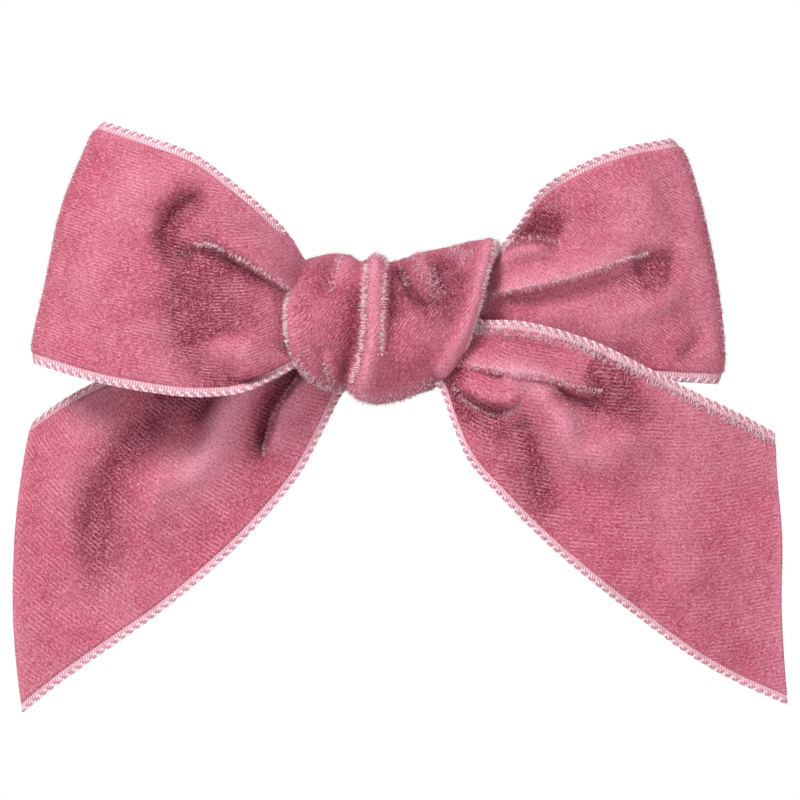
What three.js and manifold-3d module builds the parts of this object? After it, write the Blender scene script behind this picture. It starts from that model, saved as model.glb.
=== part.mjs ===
// A velvet ribbon bow on a sprung metal barrette, as worn: the bow faces -Y, +Z is up and
// the wearer's head is on the +Y side. Millimetres. The origin is the middle of the channel
// that grips the hair, between the tension bow and the clamp bar.
import * as THREE from "three";
import { mergeVertices } from "three/addons/utils/BufferGeometryUtils.js";
import Module from "manifold-3d";

// ---- Driving dimensions -------------------------------------------------------------------

const RIBBON_THICKNESS = 1.2;
// gap is left between the knot and each stretch of ribbon that it holds.
const KNOT = { middle: -18, halfDepths: [5.6, 7.6, 7.9, 7.6, 7.9, 7.4, 5.8], sides: 16, gap: 0.45 };

const BASE = { length: 82, width: 9, gauge: 0.9, front: -9, radius: 150 };
// flat is half the length of the clamp bar's flat middle.
const BAR = { width: 4.6, gauge: 0.8, middle: 2.7, radius: 600, flat: 6, end: 37.6 };
const HINGE = { x: -33, pin: 0.8, knuckle: 1.6, bore: 0.9, earReach: 1.7 };
const LATCH = { x: 33, prongWidth: 3.2, windowHalf: 2.9, windowLength: 4.2, paddleHalf: 4.3 };
const SPRING = { width: 4, gauge: 0.5, left: -29, right: 28.5, crest: -2.55, tip: -3.9 };
const SEW_HOLE = { x: 38.2, radius: 1.1 };
const RIVET = { shank: 0.75, hole: 0.9, head: 1.35, headHeight: 0.45, clear: 0.12 };
// Thread that ties the knot to the base plate: its loops run from behind the plate to within the knot.
const BINDING = { thread: 0.25, turns: 3, pitch: 1.2, start: 10, halfWidth: 5.2, room: 0.6 };
BINDING.behind = BASE.front + 1.65;
BINDING.within = BASE.front - 2.9;

const VELVET = new THREE.MeshStandardMaterial({ color: 0xc7697f, roughness: 0.95, metalness: 0 });
const STEEL = new THREE.MeshStandardMaterial({ color: 0xc9cbd0, roughness: 0.3, metalness: 1 });
const SPRING_STEEL = new THREE.MeshStandardMaterial({ color: 0xb4b7be, roughness: 0.35, metalness: 1 });
const COTTON = new THREE.MeshStandardMaterial({ color: 0xb8607a, roughness: 0.9, metalness: 0 });
const ADHESIVE = new THREE.MeshStandardMaterial({ color: 0xe8dfc8, roughness: 0.4, metalness: 0 });

// ---- Joining and cutting ------------------------------------------------------------------

const wasm = await Module();
wasm.setup();

/** A closed geometry as a manifold-3d solid. */
function solid(geometry) {
  const bare = new THREE.BufferGeometry().setAttribute("position", geometry.getAttribute("position"));
  if (geometry.index) bare.setIndex(geometry.index);
  const merged = mergeVertices(bare, 1e-4);
  return new wasm.Manifold(
    new wasm.Mesh({
      numProp: 3,
      vertProperties: merged.attributes.position.array,
      triVerts: new Uint32Array(merged.index.array),
    }),
  );
}

/** A manifold-3d solid as a geometry. */
function geometryOf(body) {
  const mesh = body.getMesh();
  return new THREE.BufferGeometry()
    .setAttribute("position", new THREE.BufferAttribute(mesh.vertProperties, 3))
    .setIndex(new THREE.BufferAttribute(mesh.triVerts, 1));
}

const joined = (...geometries) => geometries.map(solid).reduce((a, b) => a.add(b));

// ---- Shapes -------------------------------------------------------------------------------

/** An open curve in the XZ plane through a few points. */
function edge(...points) {
  const path = points.map(([x, z]) => new THREE.Vector3(x, 0, z));
  return new THREE.CatmullRomCurve3(path, false, "centripetal");
}

/** A smooth profile through (place along the ribbon, depth) pairs. */
function profile(...points) {
  const path = points.map(([t, y]) => new THREE.Vector3(t * 40, y, 0));
  const curve = new THREE.CatmullRomCurve3(path, false, "centripetal");
  return (u) => {
    const p = curve.getPointAt(u);
    return [THREE.MathUtils.clamp(p.x / 40, 0, 1), p.y];
  };
}

/** A closed body from rings of points: ring i is rings[i], and both ends are capped by fans. */
function lofted(rings) {
  const sides = rings[0].length;
  const positions = rings.flat().flatMap((p) => [p.x, p.y, p.z]);
  const index = [];
  for (let i = 0; i + 1 < rings.length; i++)
    for (let j = 0; j < sides; j++) {
      const k = (j + 1) % sides;
      const [a, b, c, d] = [i * sides + j, i * sides + k, (i + 1) * sides + k, (i + 1) * sides + j];
      index.push(a, b, c, a, c, d);
    }
  const caps = [[rings[0], 0, true], [rings.at(-1), (rings.length - 1) * sides, false]];
  for (const [ring, first, start] of caps) {
    const middle = ring.reduce((sum, p) => sum.add(p), new THREE.Vector3()).divideScalar(sides);
    const hub = positions.push(middle.x, middle.y, middle.z) / 3 - 1;
    for (let j = 0; j < sides; j++) {
      const [a, b] = [first + j, first + ((j + 1) % sides)];
      index.push(...(start ? [hub, b, a] : [hub, a, b]));
    }
  }
  const geometry = new THREE.BufferGeometry();
  geometry.setAttribute("position", new THREE.Float32BufferAttribute(positions, 3));
  geometry.setIndex(index);
  return solid(geometry).volume() < 0 ? flipped(geometry) : geometry;
}

function flipped(geometry) {
  const index = geometry.index.array;
  for (let i = 0; i < index.length; i += 3) [index[i + 1], index[i + 2]] = [index[i + 2], index[i + 1]];
  return geometry;
}

/** A sheet of ribbon of even thickness about surface(u, v), which runs along u and across v. */
function ribbon(surface, alongSteps, acrossSteps) {
  const step = 1e-3;
  const half = RIBBON_THICKNESS / 2;
  const rings = [];
  for (let i = 0; i <= alongSteps; i++) {
    const u = i / alongSteps;
    const [front, back] = [[], []];
    for (let j = 0; j <= acrossSteps; j++) {
      const v = j / acrossSteps;
      const along = surface(Math.min(u + step, 1), v).sub(surface(Math.max(u - step, 0), v));
      const across = surface(u, Math.min(v + step, 1)).sub(surface(u, Math.max(v - step, 0)));
      const normal = along.cross(across).normalize();
      const middle = surface(u, v);
      front.push(middle.clone().addScaledVector(normal, half));
      back.push(middle.addScaledVector(normal, -half));
    }
    rings.push([...front, ...back.reverse()]);
  }
  return lofted(rings);
}

/** A surface between two edges, whose depth follows a profile along the ribbon. */
function between(top, bottom, depth) {
  return (u, v) => {
    const [t, y] = depth(u);
    const point = bottom.getPointAt(t).lerp(top.getPointAt(t), v);
    point.y = y;
    return point;
  };
}

/** A flat metal strip along X: depth(x) is its middle, halfWidth(x) its half width in Z. */
function strip(stations, depth, halfWidth, gauge) {
  const half = gauge / 2;
  const corners = [[-1, -1], [-1, 1], [1, 1], [1, -1]];
  return lofted(
    stations.map((x) =>
      corners.map(([a, b]) => new THREE.Vector3(x, depth(x) + a * half, b * halfWidth(x))),
    ),
  );
}

/** Evenly spaced stations, with three more at each end that round the strip off in plan. */
function stations(from, to, count, radius) {
  const step = (to - from - 2 * radius) / count;
  const inner = Array.from({ length: count + 1 }, (_, i) => from + radius + step * i);
  const ends = [0.04, 0.25, 0.6].map((share) => share * radius);
  return [...ends.map((d) => from + d), ...inner, ...ends.reverse().map((d) => to - d)];
}

/** The half width at x of a strip whose plan ends are rounded off over radius. */
function rounded(x, from, to, half, radius) {
  const inset = Math.max(0, radius - Math.min(x - from, to - x)) / radius;
  return half - radius * (1 - Math.sqrt(Math.max(0, 1 - inset * inset)));
}

/** A round bar whose axis is X, Y or Z. */
function rod(axis, radius, length, centre, sides = 24) {
  const geometry = new THREE.CylinderGeometry(radius, radius, length, sides);
  if (axis === "x") geometry.rotateZ(Math.PI / 2);
  if (axis === "z") geometry.rotateX(Math.PI / 2);
  return geometry.translate(...centre);
}

const block = (size, centre) => new THREE.BoxGeometry(...size).translate(...centre);

/** A plate: an outline in XY, extruded along Z from z. */
function plateXY(outline, z, thickness) {
  const shape = new THREE.Shape(outline.map(([x, y]) => new THREE.Vector2(x, y)));
  return new THREE.ExtrudeGeometry(shape, { depth: thickness, bevelEnabled: false }).translate(0, 0, z);
}

const parts = new THREE.Group();

function add(name, geometry, material) {
  const mesh = new THREE.Mesh(geometry.isBufferGeometry ? geometry : geometryOf(geometry), material);
  mesh.name = name;
  parts.add(mesh);
}

// ---- The bow ------------------------------------------------------------------------------

/** The tied knot: a barrel round the X axis whose ends and top and bottom lines aren't parallel. */
function barrel(grow) {
  const top = edge([-15, 9.6], [-10.5, 10.6], [-5.8, 9.4], [3, 10.8], [10, 12.4], [16.4, 12.4]);
  const bottom = edge([-16.6, -7.4], [-10.5, -10.6], [-3.2, -13], [3.5, -11.4], [8.6, -8.6], [11.8, -3.6]);
  const last = KNOT.halfDepths.length - 1;
  const rings = KNOT.halfDepths.map((halfDepth, i) => {
    const [high, low] = [top.getPointAt(i / last), bottom.getPointAt(i / last)];
    const middle = high.clone().lerp(low, 0.5);
    const up = high.sub(middle);
    up.setLength(up.length() + grow);
    const endwards = i === 0 ? -grow : i === last ? grow : 0;
    return Array.from({ length: KNOT.sides }, (_, j) => {
      const angle = (j / KNOT.sides) * 2 * Math.PI;
      const point = middle.clone().addScaledVector(up, Math.sin(angle));
      point.x += endwards;
      point.y = KNOT.middle - (halfDepth + grow) * Math.cos(angle);
      return point;
    });
  });
  return lofted(rings);
}

/** A stretch of ribbon, cut clear of the knot that holds its inner end. */
function stretch(name, surface, stepsAlong, stepsAcross) {
  const sheet = solid(ribbon(surface, stepsAlong, stepsAcross));
  add(name, sheet.subtract(solid(barrel(KNOT.gap))), VELVET);
}

/** Out along the front, round the outer fold and back to the knot along the back. */
function addLeftLoop() {
  const top = edge([-12, 7], [-17.1, 13.2], [-25.1, 21.8], [-33.2, 26.4], [-41.2, 30], [-46.9, 31.6]);
  const bottom = edge([-12, -4.5], [-17.1, -7.3], [-25.1, -10.8], [-33, -11], [-45.2, -8.8], [-58.3, -5.9]);
  const front = [[0, -18.6], [0.3, -25.4], [0.65, -26], [0.93, -22]];
  const back = [[0.93, -17], [0.6, -15.4], [0.3, -14.6], [0, -14.6]];
  stretch("left_loop", between(top, bottom, profile(...front, [1, -19.4], ...back)), 26, 6);
}

function addRightLoop() {
  const top = edge([11, 7.5], [16.7, 10.8], [23.2, 19.4], [29.5, 25], [38, 27.8], [44.6, 29.2]);
  const bottom = edge([8, -3], [14, -4.4], [26.4, -7], [39.3, -8.8], [51.8, -9.4]);
  const front = [[0, -17], [0.3, -21.4], [0.65, -21.8], [0.93, -18.4]];
  const back = [[0.93, -14], [0.6, -12.8], [0.3, -12.8], [0, -13.4]];
  stretch("right_loop", between(top, bottom, profile(...front, [1, -16], ...back)), 26, 6);
}

/** The tail that leaves the knot behind the left loop. */
function addLeftTail() {
  const top = edge([-11, -3.6], [-25, -4.6], [-36, -6.2], [-47.7, -9.4], [-59.2, -16.8]);
  const bottom = edge([-7, -8], [-12.4, -19], [-22, -31.6], [-40, -47.4], [-60.4, -62.8]);
  const depth = profile([0, -12.4], [0.3, -12], [0.65, -13], [1, -11]);
  stretch("left_tail", between(top, bottom, depth), 12, 6);
}

/** The tail that leaves the knot in front of the right loop and hangs over it. */
function addRightTail() {
  const top = edge([9, -1], [20, -0.6], [32.8, -4.2], [48.9, -11.8], [61.4, -19.6]);
  const bottom = edge([5, -8], [9.6, -19], [27.2, -37.8], [43.8, -50.6], [62.8, -61.2]);
  const depth = profile([0, -21], [0.16, -24.2], [0.4, -25], [0.7, -22], [1, -19]);
  stretch("right_tail", between(top, bottom, depth), 12, 6);
}

/** Each winding of thread draws the back of the knot in, which leaves a recess for it. */
function addKnot() {
  const mouth = BASE.front;
  const floor = BINDING.within - BINDING.room;
  const length = BINDING.turns * BINDING.pitch;
  const size = [length + 2 * BINDING.room, mouth - floor, 2 * (BINDING.halfWidth + BINDING.room)];
  const recesses = [-1, 1].map((side) =>
    solid(block(size, [side * (BINDING.start + length / 2), (mouth + floor) / 2, 0])),
  );
  add("knot", recesses.reduce((body, recess) => body.subtract(recess), solid(barrel(0))), VELVET);
}

// ---- The clip -----------------------------------------------------------------------------

/** The middle of the arched base plate at x. */
const baseDepth = (x) => BASE.front + BASE.gauge / 2 + BASE.radius - Math.sqrt(BASE.radius ** 2 - x * x);
const baseInside = (x) => baseDepth(x) + BASE.gauge / 2;
const springSeat = baseInside(SPRING.left) + 0.5;

/** Turns a geometry about the base plate's own point at x, from upright to square to the plate. */
function squareToPlate(geometry, x) {
  const y = baseDepth(x);
  return geometry.translate(-x, -y, 0).rotateZ(Math.asin(x / BASE.radius)).translate(x, y, 0);
}

/** The middle of the clamp bar at x: flat in the middle, and curved towards the head past that. */
const barBend = (x) => BAR.radius - Math.sqrt(BAR.radius ** 2 - x * x);
const barDepth = (x) => BAR.middle + (Math.abs(x) <= BAR.flat ? 0 : barBend(x));

const PIN_Y = barDepth(HINGE.x) + BAR.gauge / 2 - HINGE.knuckle;

function addBasePlate() {
  const half = BASE.length / 2;
  const endRadius = BASE.width / 2;
  const width = (x) => rounded(x, -half, half, BASE.width / 2, endRadius);
  const plate = strip(stations(-half, half, 15, endRadius), baseDepth, width, BASE.gauge);

  // An ear on each long edge stands up from the plate and rounds off over the hinge pin.
  const foot = baseDepth(HINGE.x) - 0.2;
  const crown = Array.from({ length: 7 }, (_, i) => {
    const angle = (i / 6) * Math.PI;
    return [HINGE.x + HINGE.earReach * Math.cos(angle), PIN_Y + HINGE.earReach * Math.sin(angle)];
  });
  const outline = [[HINGE.x - 2.6, foot], [HINGE.x + 2.6, foot], ...crown];
  const ear = 0.8;
  const ears = [BASE.width / 2 - ear, -BASE.width / 2].map((z) => plateXY(outline, z, ear));

  // Two hooked lugs hold the wide end of the tension bow down on the plate.
  const lug = { x: SPRING.left + 1, length: 1.6, top: springSeat + 0.97, sheet: 0.6, post: 3.4, hook: 1.3 };
  const root = springSeat - 1.1;
  const lugs = [1, -1].flatMap((side) => [
    block([lug.length, lug.top - root, lug.sheet], [lug.x, (lug.top + root) / 2, side * lug.post]),
    block([lug.length, 0.45, lug.hook], [lug.x, lug.top - 0.225, side * (lug.post - 0.35)]),
  ]);

  const holes = [
    ...[-SEW_HOLE.x, SEW_HOLE.x].map((x) => rod("y", SEW_HOLE.radius, 6, [x, baseDepth(x), 0])),
    squareToPlate(rod("y", RIVET.hole, 6, [LATCH.x, baseDepth(LATCH.x), 0]), LATCH.x),
    rod("z", HINGE.pin + 0.04, 20, [HINGE.x, PIN_Y, 0]),
  ];
  const plain = joined(plate, ...ears, ...lugs);
  add("base_plate", holes.map(solid).reduce((body, hole) => body.subtract(hole), plain), STEEL);
}

function addHingePin() {
  const outside = BASE.width / 2;
  const shank = rod("z", HINGE.pin, BASE.width + 1, [HINGE.x, PIN_Y, 0]);
  const heads = [1, -1].map((side) =>
    rod("z", HINGE.pin + 0.5, 0.45, [HINGE.x, PIN_Y, side * (outside + 0.35)]),
  );
  add("hinge_pin", joined(shank, ...heads), STEEL);
}

function addClampBar() {
  const xs = [HINGE.x, -27, -20, -13, -BAR.flat, BAR.flat, 13, 20, 26, BAR.end - 8.4];
  const bar = strip(xs, barDepth, () => BAR.width / 2, BAR.gauge);

  // The paddle widens past the bar to take the window, and its far corners are cut off.
  const paddleXs = [BAR.end - 8.4, BAR.end - 7.2, BAR.end - 2, BAR.end - 0.9, BAR.end - 0.2, BAR.end];
  const paddleHalf = [BAR.width / 2, LATCH.paddleHalf, LATCH.paddleHalf, 3.9, 3, 2.2];
  const paddleY = barDepth(LATCH.x);
  const paddle = strip(paddleXs, () => paddleY, (x) => paddleHalf[paddleXs.indexOf(x)], BAR.gauge);
  const knuckle = rod("z", HINGE.knuckle, BAR.width, [HINGE.x, PIN_Y, 0]);
  const window = block([LATCH.windowLength, 4, LATCH.windowHalf * 2], [LATCH.x, paddleY, 0]);
  const body = joined(bar, paddle, knuckle)
    .subtract(solid(window))
    .subtract(solid(rod("z", HINGE.bore, 20, [HINGE.x, PIN_Y, 0])));
  add("clamp_bar", body, STEEL);
}

function addTensionBow() {
  const arch = new THREE.QuadraticBezierCurve(
    new THREE.Vector2(SPRING.left, springSeat),
    new THREE.Vector2(0, 2 * SPRING.crest - (springSeat + SPRING.tip) / 2),
    new THREE.Vector2(SPRING.right, SPRING.tip),
  );
  const points = arch.getPoints(14);
  const depthAt = new Map(points.map((p) => [p.x, p.y]));
  const xs = points.map((p) => p.x);
  // The end under the lugs is a wide tab; the free end is rounded.
  const tab = 2.85;
  const halfWidth = (x) => (x > SPRING.right - 1 ? 1.2 : SPRING.width / 2);
  const crosspiece = block([1.8, SPRING.gauge, 2 * tab], [SPRING.left + 0.9, springSeat, 0]);
  const leaf = strip(xs, (x) => depthAt.get(x), halfWidth, SPRING.gauge);
  add("tension_bow", joined(leaf, crosspiece), SPRING_STEEL);
}

function addLatch() {
  const seat = (x) => baseInside(x) + 0.15;
  const yoke = { gauge: 0.7, half: 3.7, wall: 1.2 };
  const xs = [-2.5, -1.25, 0, 1.25, 2.5].map((x) => LATCH.x + x);
  const floor = strip(xs, (x) => seat(x) + yoke.gauge / 2, () => yoke.half, yoke.gauge);
  const walls = [1, -1].map((side) =>
    strip(xs, (x) => seat(x) + yoke.wall / 2, () => yoke.gauge / 2, yoke.wall)
      .translate(0, 0, side * (yoke.half - yoke.gauge / 2)),
  );
  const hole = squareToPlate(rod("y", RIVET.hole, 4, [LATCH.x, seat(LATCH.x), 0]), LATCH.x);
  const body = joined(floor, ...walls).subtract(solid(hole));
  add("latch_yoke", body, SPRING_STEEL);

  // One prong, seen along X as (distance from the middle, height above its foot): it bulges out
  // as a finger pad, passes through the window and ends in a sloped barb.
  const foot = seat(LATCH.x + LATCH.prongWidth / 2) + yoke.wall + 0.15;
  const top = barDepth(LATCH.x) + BAR.gauge / 2;
  const outline = [
    [3.7, foot], [4.8, foot + 1.8], [4.75, foot + 2.5], [3.9, top - 2.2], [2.5, top - 1], [2.45, top + 0.35],
    [2.75, top + 0.55], [2.1, top + 1.9], [1.5, top + 2], [1.7, top + 0.4], [1.75, top - 1.1],
    [3.2, top - 2.6], [4.05, foot + 2.3], [4.1, foot + 1.9], [3, foot],
  ];
  for (const [name, side] of [["latch_prong_upper", 1], ["latch_prong_lower", -1]]) {
    const shape = new THREE.Shape(outline.map(([z, y]) => new THREE.Vector2(z * side, y)));
    const prong = new THREE.ExtrudeGeometry(shape, { depth: LATCH.prongWidth, bevelEnabled: false });
    // The outline's first axis becomes Z and the extrusion runs along -X.
    prong.rotateY(-Math.PI / 2).translate(LATCH.x + LATCH.prongWidth / 2, 0, 0);
    add(name, prong, SPRING_STEEL);
  }

  // The rivet stands square to the plate: a shank through plate and yoke, with a head at each end.
  const half = RIVET.headHeight / 2;
  const front = baseDepth(LATCH.x) - BASE.gauge / 2 - RIVET.clear - half;
  const behind = seat(LATCH.x) + yoke.gauge + RIVET.clear + half;
  const rivet = joined(
    rod("y", RIVET.shank, behind - front, [LATCH.x, (front + behind) / 2, 0], 16),
    ...[front, behind].map((y) => rod("y", RIVET.head, RIVET.headHeight, [LATCH.x, y, 0], 16)),
  );
  add("latch_rivet", squareToPlate(geometryOf(rivet), LATCH.x), STEEL);
}

/** Turns of thread wound round the base plate and, in front of it, through the back of the knot. */
class Binding extends THREE.Curve {
  constructor(side) {
    super();
    this.side = side;
  }

  getPoint(t, target = new THREE.Vector3()) {
    const { turns, pitch, start, halfWidth, behind, within } = BINDING;
    const angle = 2 * Math.PI * turns * t;
    const square = (c) => Math.sign(c) * Math.cbrt(Math.abs(c));
    const x = start + pitch * turns * t;
    const middle = (behind + within) / 2;
    const y = middle - ((behind - within) / 2) * square(Math.cos(angle)) + baseDepth(x) - baseDepth(0);
    return target.set(this.side * x, y, halfWidth * square(Math.sin(angle)));
  }
}

/** One winding as a closed tube with a six-sided section. */
function winding(side) {
  const hexagon = Array.from({ length: 6 }, (_, i) => {
    const angle = (i * Math.PI) / 3;
    return new THREE.Vector2(BINDING.thread * Math.cos(angle), BINDING.thread * Math.sin(angle));
  });
  const options = { steps: 16 * BINDING.turns, extrudePath: new Binding(side), bevelEnabled: false };
  return new THREE.ExtrudeGeometry(new THREE.Shape(hexagon), options);
}

function addFixings() {
  add("binding_thread_left", winding(-1), COTTON);
  add("binding_thread_right", winding(1), COTTON);

  // The adhesive fills the space between the back of the knot and the middle of the base plate.
  const pad = { half: 9, halfWidth: 3.7, corner: 2, gap: 0.25 };
  const rear = BASE.front - pad.gap;
  const front = KNOT.middle + Math.max(...KNOT.halfDepths) + KNOT.gap;
  const width = (x) => rounded(x, -pad.half, pad.half, pad.halfWidth, pad.corner);
  const places = stations(-pad.half, pad.half, 5, pad.corner);
  const bead = strip(places, () => (front + rear) / 2, width, rear - front);
  add("glue_pad", bead, ADHESIVE);
}

addLeftLoop();
addRightLoop();
addLeftTail();
addRightTail();
addKnot();
addBasePlate();
addHingePin();
addClampBar();
addTensionBow();
addLatch();
addFixings();

export default parts;
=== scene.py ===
"""Velvet ribbon bow on a sprung metal hair barrette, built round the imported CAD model.

Lengths inside the shape code are in millimetres, in the row frame: -Y faces the viewer, +Z is up.
"""

import math

import bmesh
import bpy
import numpy as np
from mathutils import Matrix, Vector
from mathutils.kdtree import KDTree


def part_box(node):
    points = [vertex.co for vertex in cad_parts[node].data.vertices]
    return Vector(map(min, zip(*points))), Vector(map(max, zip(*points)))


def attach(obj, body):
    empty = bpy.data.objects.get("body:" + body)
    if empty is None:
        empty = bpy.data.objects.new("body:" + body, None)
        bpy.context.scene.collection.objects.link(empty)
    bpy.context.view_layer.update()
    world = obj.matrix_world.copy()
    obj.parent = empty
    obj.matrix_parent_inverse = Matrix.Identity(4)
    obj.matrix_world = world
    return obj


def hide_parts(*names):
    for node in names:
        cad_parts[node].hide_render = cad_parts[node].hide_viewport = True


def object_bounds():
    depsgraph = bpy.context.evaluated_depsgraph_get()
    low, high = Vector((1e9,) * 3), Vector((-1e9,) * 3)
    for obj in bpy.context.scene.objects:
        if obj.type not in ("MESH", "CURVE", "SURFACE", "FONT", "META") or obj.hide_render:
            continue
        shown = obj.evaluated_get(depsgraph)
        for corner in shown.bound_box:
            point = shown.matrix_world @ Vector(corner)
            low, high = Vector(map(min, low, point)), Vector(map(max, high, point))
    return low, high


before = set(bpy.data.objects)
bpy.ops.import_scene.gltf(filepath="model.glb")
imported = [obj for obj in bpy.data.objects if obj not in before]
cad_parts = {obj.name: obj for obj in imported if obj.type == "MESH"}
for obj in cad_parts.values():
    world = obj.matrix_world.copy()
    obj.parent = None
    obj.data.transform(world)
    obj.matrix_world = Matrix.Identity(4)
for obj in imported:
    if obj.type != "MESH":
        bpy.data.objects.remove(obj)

CAD_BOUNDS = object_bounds()
MM = 0.001

# The ribbon, in mm.
SELVEDGE = 1.35  # width of the woven border
CLOTH = 0.38  # from the foot of the pile to the underside
PILE_LIFT = 0.42  # from the foot of the pile to its top
PILE_ROUND = 0.35  # how far the pile rounds down beside the border
GRID_STEP = 0.3
EDGE_TINT, EDGE_SPREAD = 0.22, 0.9  # paler pile beside the borders
BAND_ROWS = np.array([0.08, 0.3, 0.6, 0.85, 1.1, 1.35, 1.62])  # distances from the rim
BAND_RISE, BAND_HUMP, BAND_DEPTH = 0.06, 0.06, 0.2
RIB_PITCH, RIB_HEIGHT, RIB_STEP = 0.47, 0.09, 0.118
ROPE_PITCH, ROPE_RADIUS, ROPE_POINTS = 1.45, 0.15, 12
ROPE_MIDDLE, ROPE_SWING = 0.36, 0.27  # distance of the rope from the rim, and how far its strands cross
ROPE_RISE, ROPE_HEIGHT = 0.08, 0.13

# Hairs, in mm. A pair holds the least and the most.
PILE_LENGTHS, PILE_WIDTH, ROOT_DEPTH = (0.22, 0.6), 0.065, 0.12
KNOT_LENGTHS, KNOT_WIDTH, KNOT_FOOT = (0.3, 0.65), 0.07, 0.13
FRINGE_WIDTHS, FRINGE_FOOT = (0.07, 0.11), 0.3
FOLD_LENGTHS, FOLD_WIDTH, FOLD_FOOT = (0.35, 0.85), 0.09, 0.25
TUFT_LENGTHS, TUFT_WIDTHS, TUFT_FOOT, TUFT_PLACES = (0.6, 1.15), (0.08, 0.13), 0.35, (1.3, 2.7)
RIM_LENGTHS, RIM_WIDTHS, RIM_FOOT = (0.5, 1.05), (0.09, 0.14), 0.2


# ---------------------------------------------------------------- curves and small maths


def smooth(low, high, value):
    t = np.clip((value - low) / (high - low), 0.0, 1.0)
    return t * t * (3 - 2 * t)


def bell(offset, width):
    return np.exp(-((offset / width) ** 2))


def unit(v):
    return v / np.maximum(np.linalg.norm(v, axis=-1, keepdims=True), 1e-12)


def run_along(points):
    """The length along a row of points, from the first to each."""
    return np.concatenate([[0], np.cumsum(np.linalg.norm(np.diff(points, axis=0), axis=1))])


def box_mm(node):
    """The lowest and the highest corner of a CAD node's box."""
    return [np.array(corner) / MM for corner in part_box(node)]


def shares_of(node):
    """A function from shares of a node's box, across and up, to x and z."""
    low, high = box_mm(node)
    return lambda p: (low[0] + p[0] * (high[0] - low[0]), low[2] + p[1] * (high[2] - low[2]))


class Line:
    """A smooth curve through points, read by its share of length."""

    def __init__(self, points, samples=600):
        p = np.asarray(points, float)
        knots = run_along(p)
        slope = np.gradient(p, knots, axis=0)
        at = np.linspace(0, knots[-1], samples)
        i = np.clip(np.searchsorted(knots, at, side="right") - 1, 0, len(knots) - 2)
        h = (knots[i + 1] - knots[i])[:, None]
        t = (at - knots[i])[:, None] / h
        self.points = (
            (1 + 2 * t) * (1 - t) ** 2 * p[i]
            + t * (1 - t) ** 2 * h * slope[i]
            + t * t * (3 - 2 * t) * p[i + 1]
            + t * t * (t - 1) * h * slope[i + 1]
        )
        run = run_along(self.points)
        self.length = run[-1]
        self.share = run / run[-1]

    def at(self, share):
        return np.stack([np.interp(share, self.share, column) for column in self.points.T], -1)


def to_line(x, z, points):
    """Distance from each (x, z) to a row of points, positive on its left, and the share along it."""
    best, side, along = np.full(x.shape, 1e9), np.zeros(x.shape), np.zeros(x.shape)
    run = run_along(points)
    for k, (start, step) in enumerate(zip(points, np.diff(points, axis=0))):
        t = np.clip(((x - start[0]) * step[0] + (z - start[1]) * step[1]) / (step @ step), 0, 1)
        off_x, off_z = x - start[0] - t * step[0], z - start[1] - t * step[1]
        distance = np.hypot(off_x, off_z)
        near = distance < best
        best = np.where(near, distance, best)
        side = np.where(near, np.sign(step[0] * off_z - step[1] * off_x), side)
        along = np.where(near, (run[k] + t * (run[k + 1] - run[k])) / run[-1], along)
    return best * side, along


class Fold:
    """A ridge (height above 0) or valley along a line drawn in shares of a node's box.

    left and right are its half widths on either side of the line, and ends the shares of its length
    over which it fades in and out. tint paints the pile lighter (above 0) or darker over
    spread, along the line moved left by shift: painted highlights on ridges and sheen bands, painted
    shade in creases and under cast shadows.
    """

    def __init__(self, points, height, left, right, ends=(0.15, 0.15), tint=0.0, spread=None, shift=0.0):
        self.points, self.height, self.left, self.right = points, height, left, right
        self.ends, self.tint, self.shift = ends, tint, shift
        self.spread = spread or (left, right)

    def settle(self, place):
        self.line = Line([place(p) for p in self.points], 40).points
        return self

    def read(self, x, z):
        d, along = to_line(x, z, self.line)
        fade_in, fade_out = self.ends
        fade = smooth(0, fade_in, along) if fade_in else 1.0
        fade = fade * (smooth(0, fade_out, 1 - along) if fade_out else 1.0)
        lift = self.height * fade * bell(d, np.where(d > 0, self.left, self.right))
        d = d - self.shift
        return lift, self.tint * fade * bell(d, np.where(d > 0, *self.spread))


class Relief:
    """The height and the painted light and shade of all the folds of one stretch together."""

    def __init__(self, place, folds):
        self.folds = [fold.settle(place) for fold in folds]

    def read(self, x, z):
        return np.sum([fold.read(x, z) for fold in self.folds], axis=0)


# ---------------------------------------------------------------- the ribbon's shape


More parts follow.
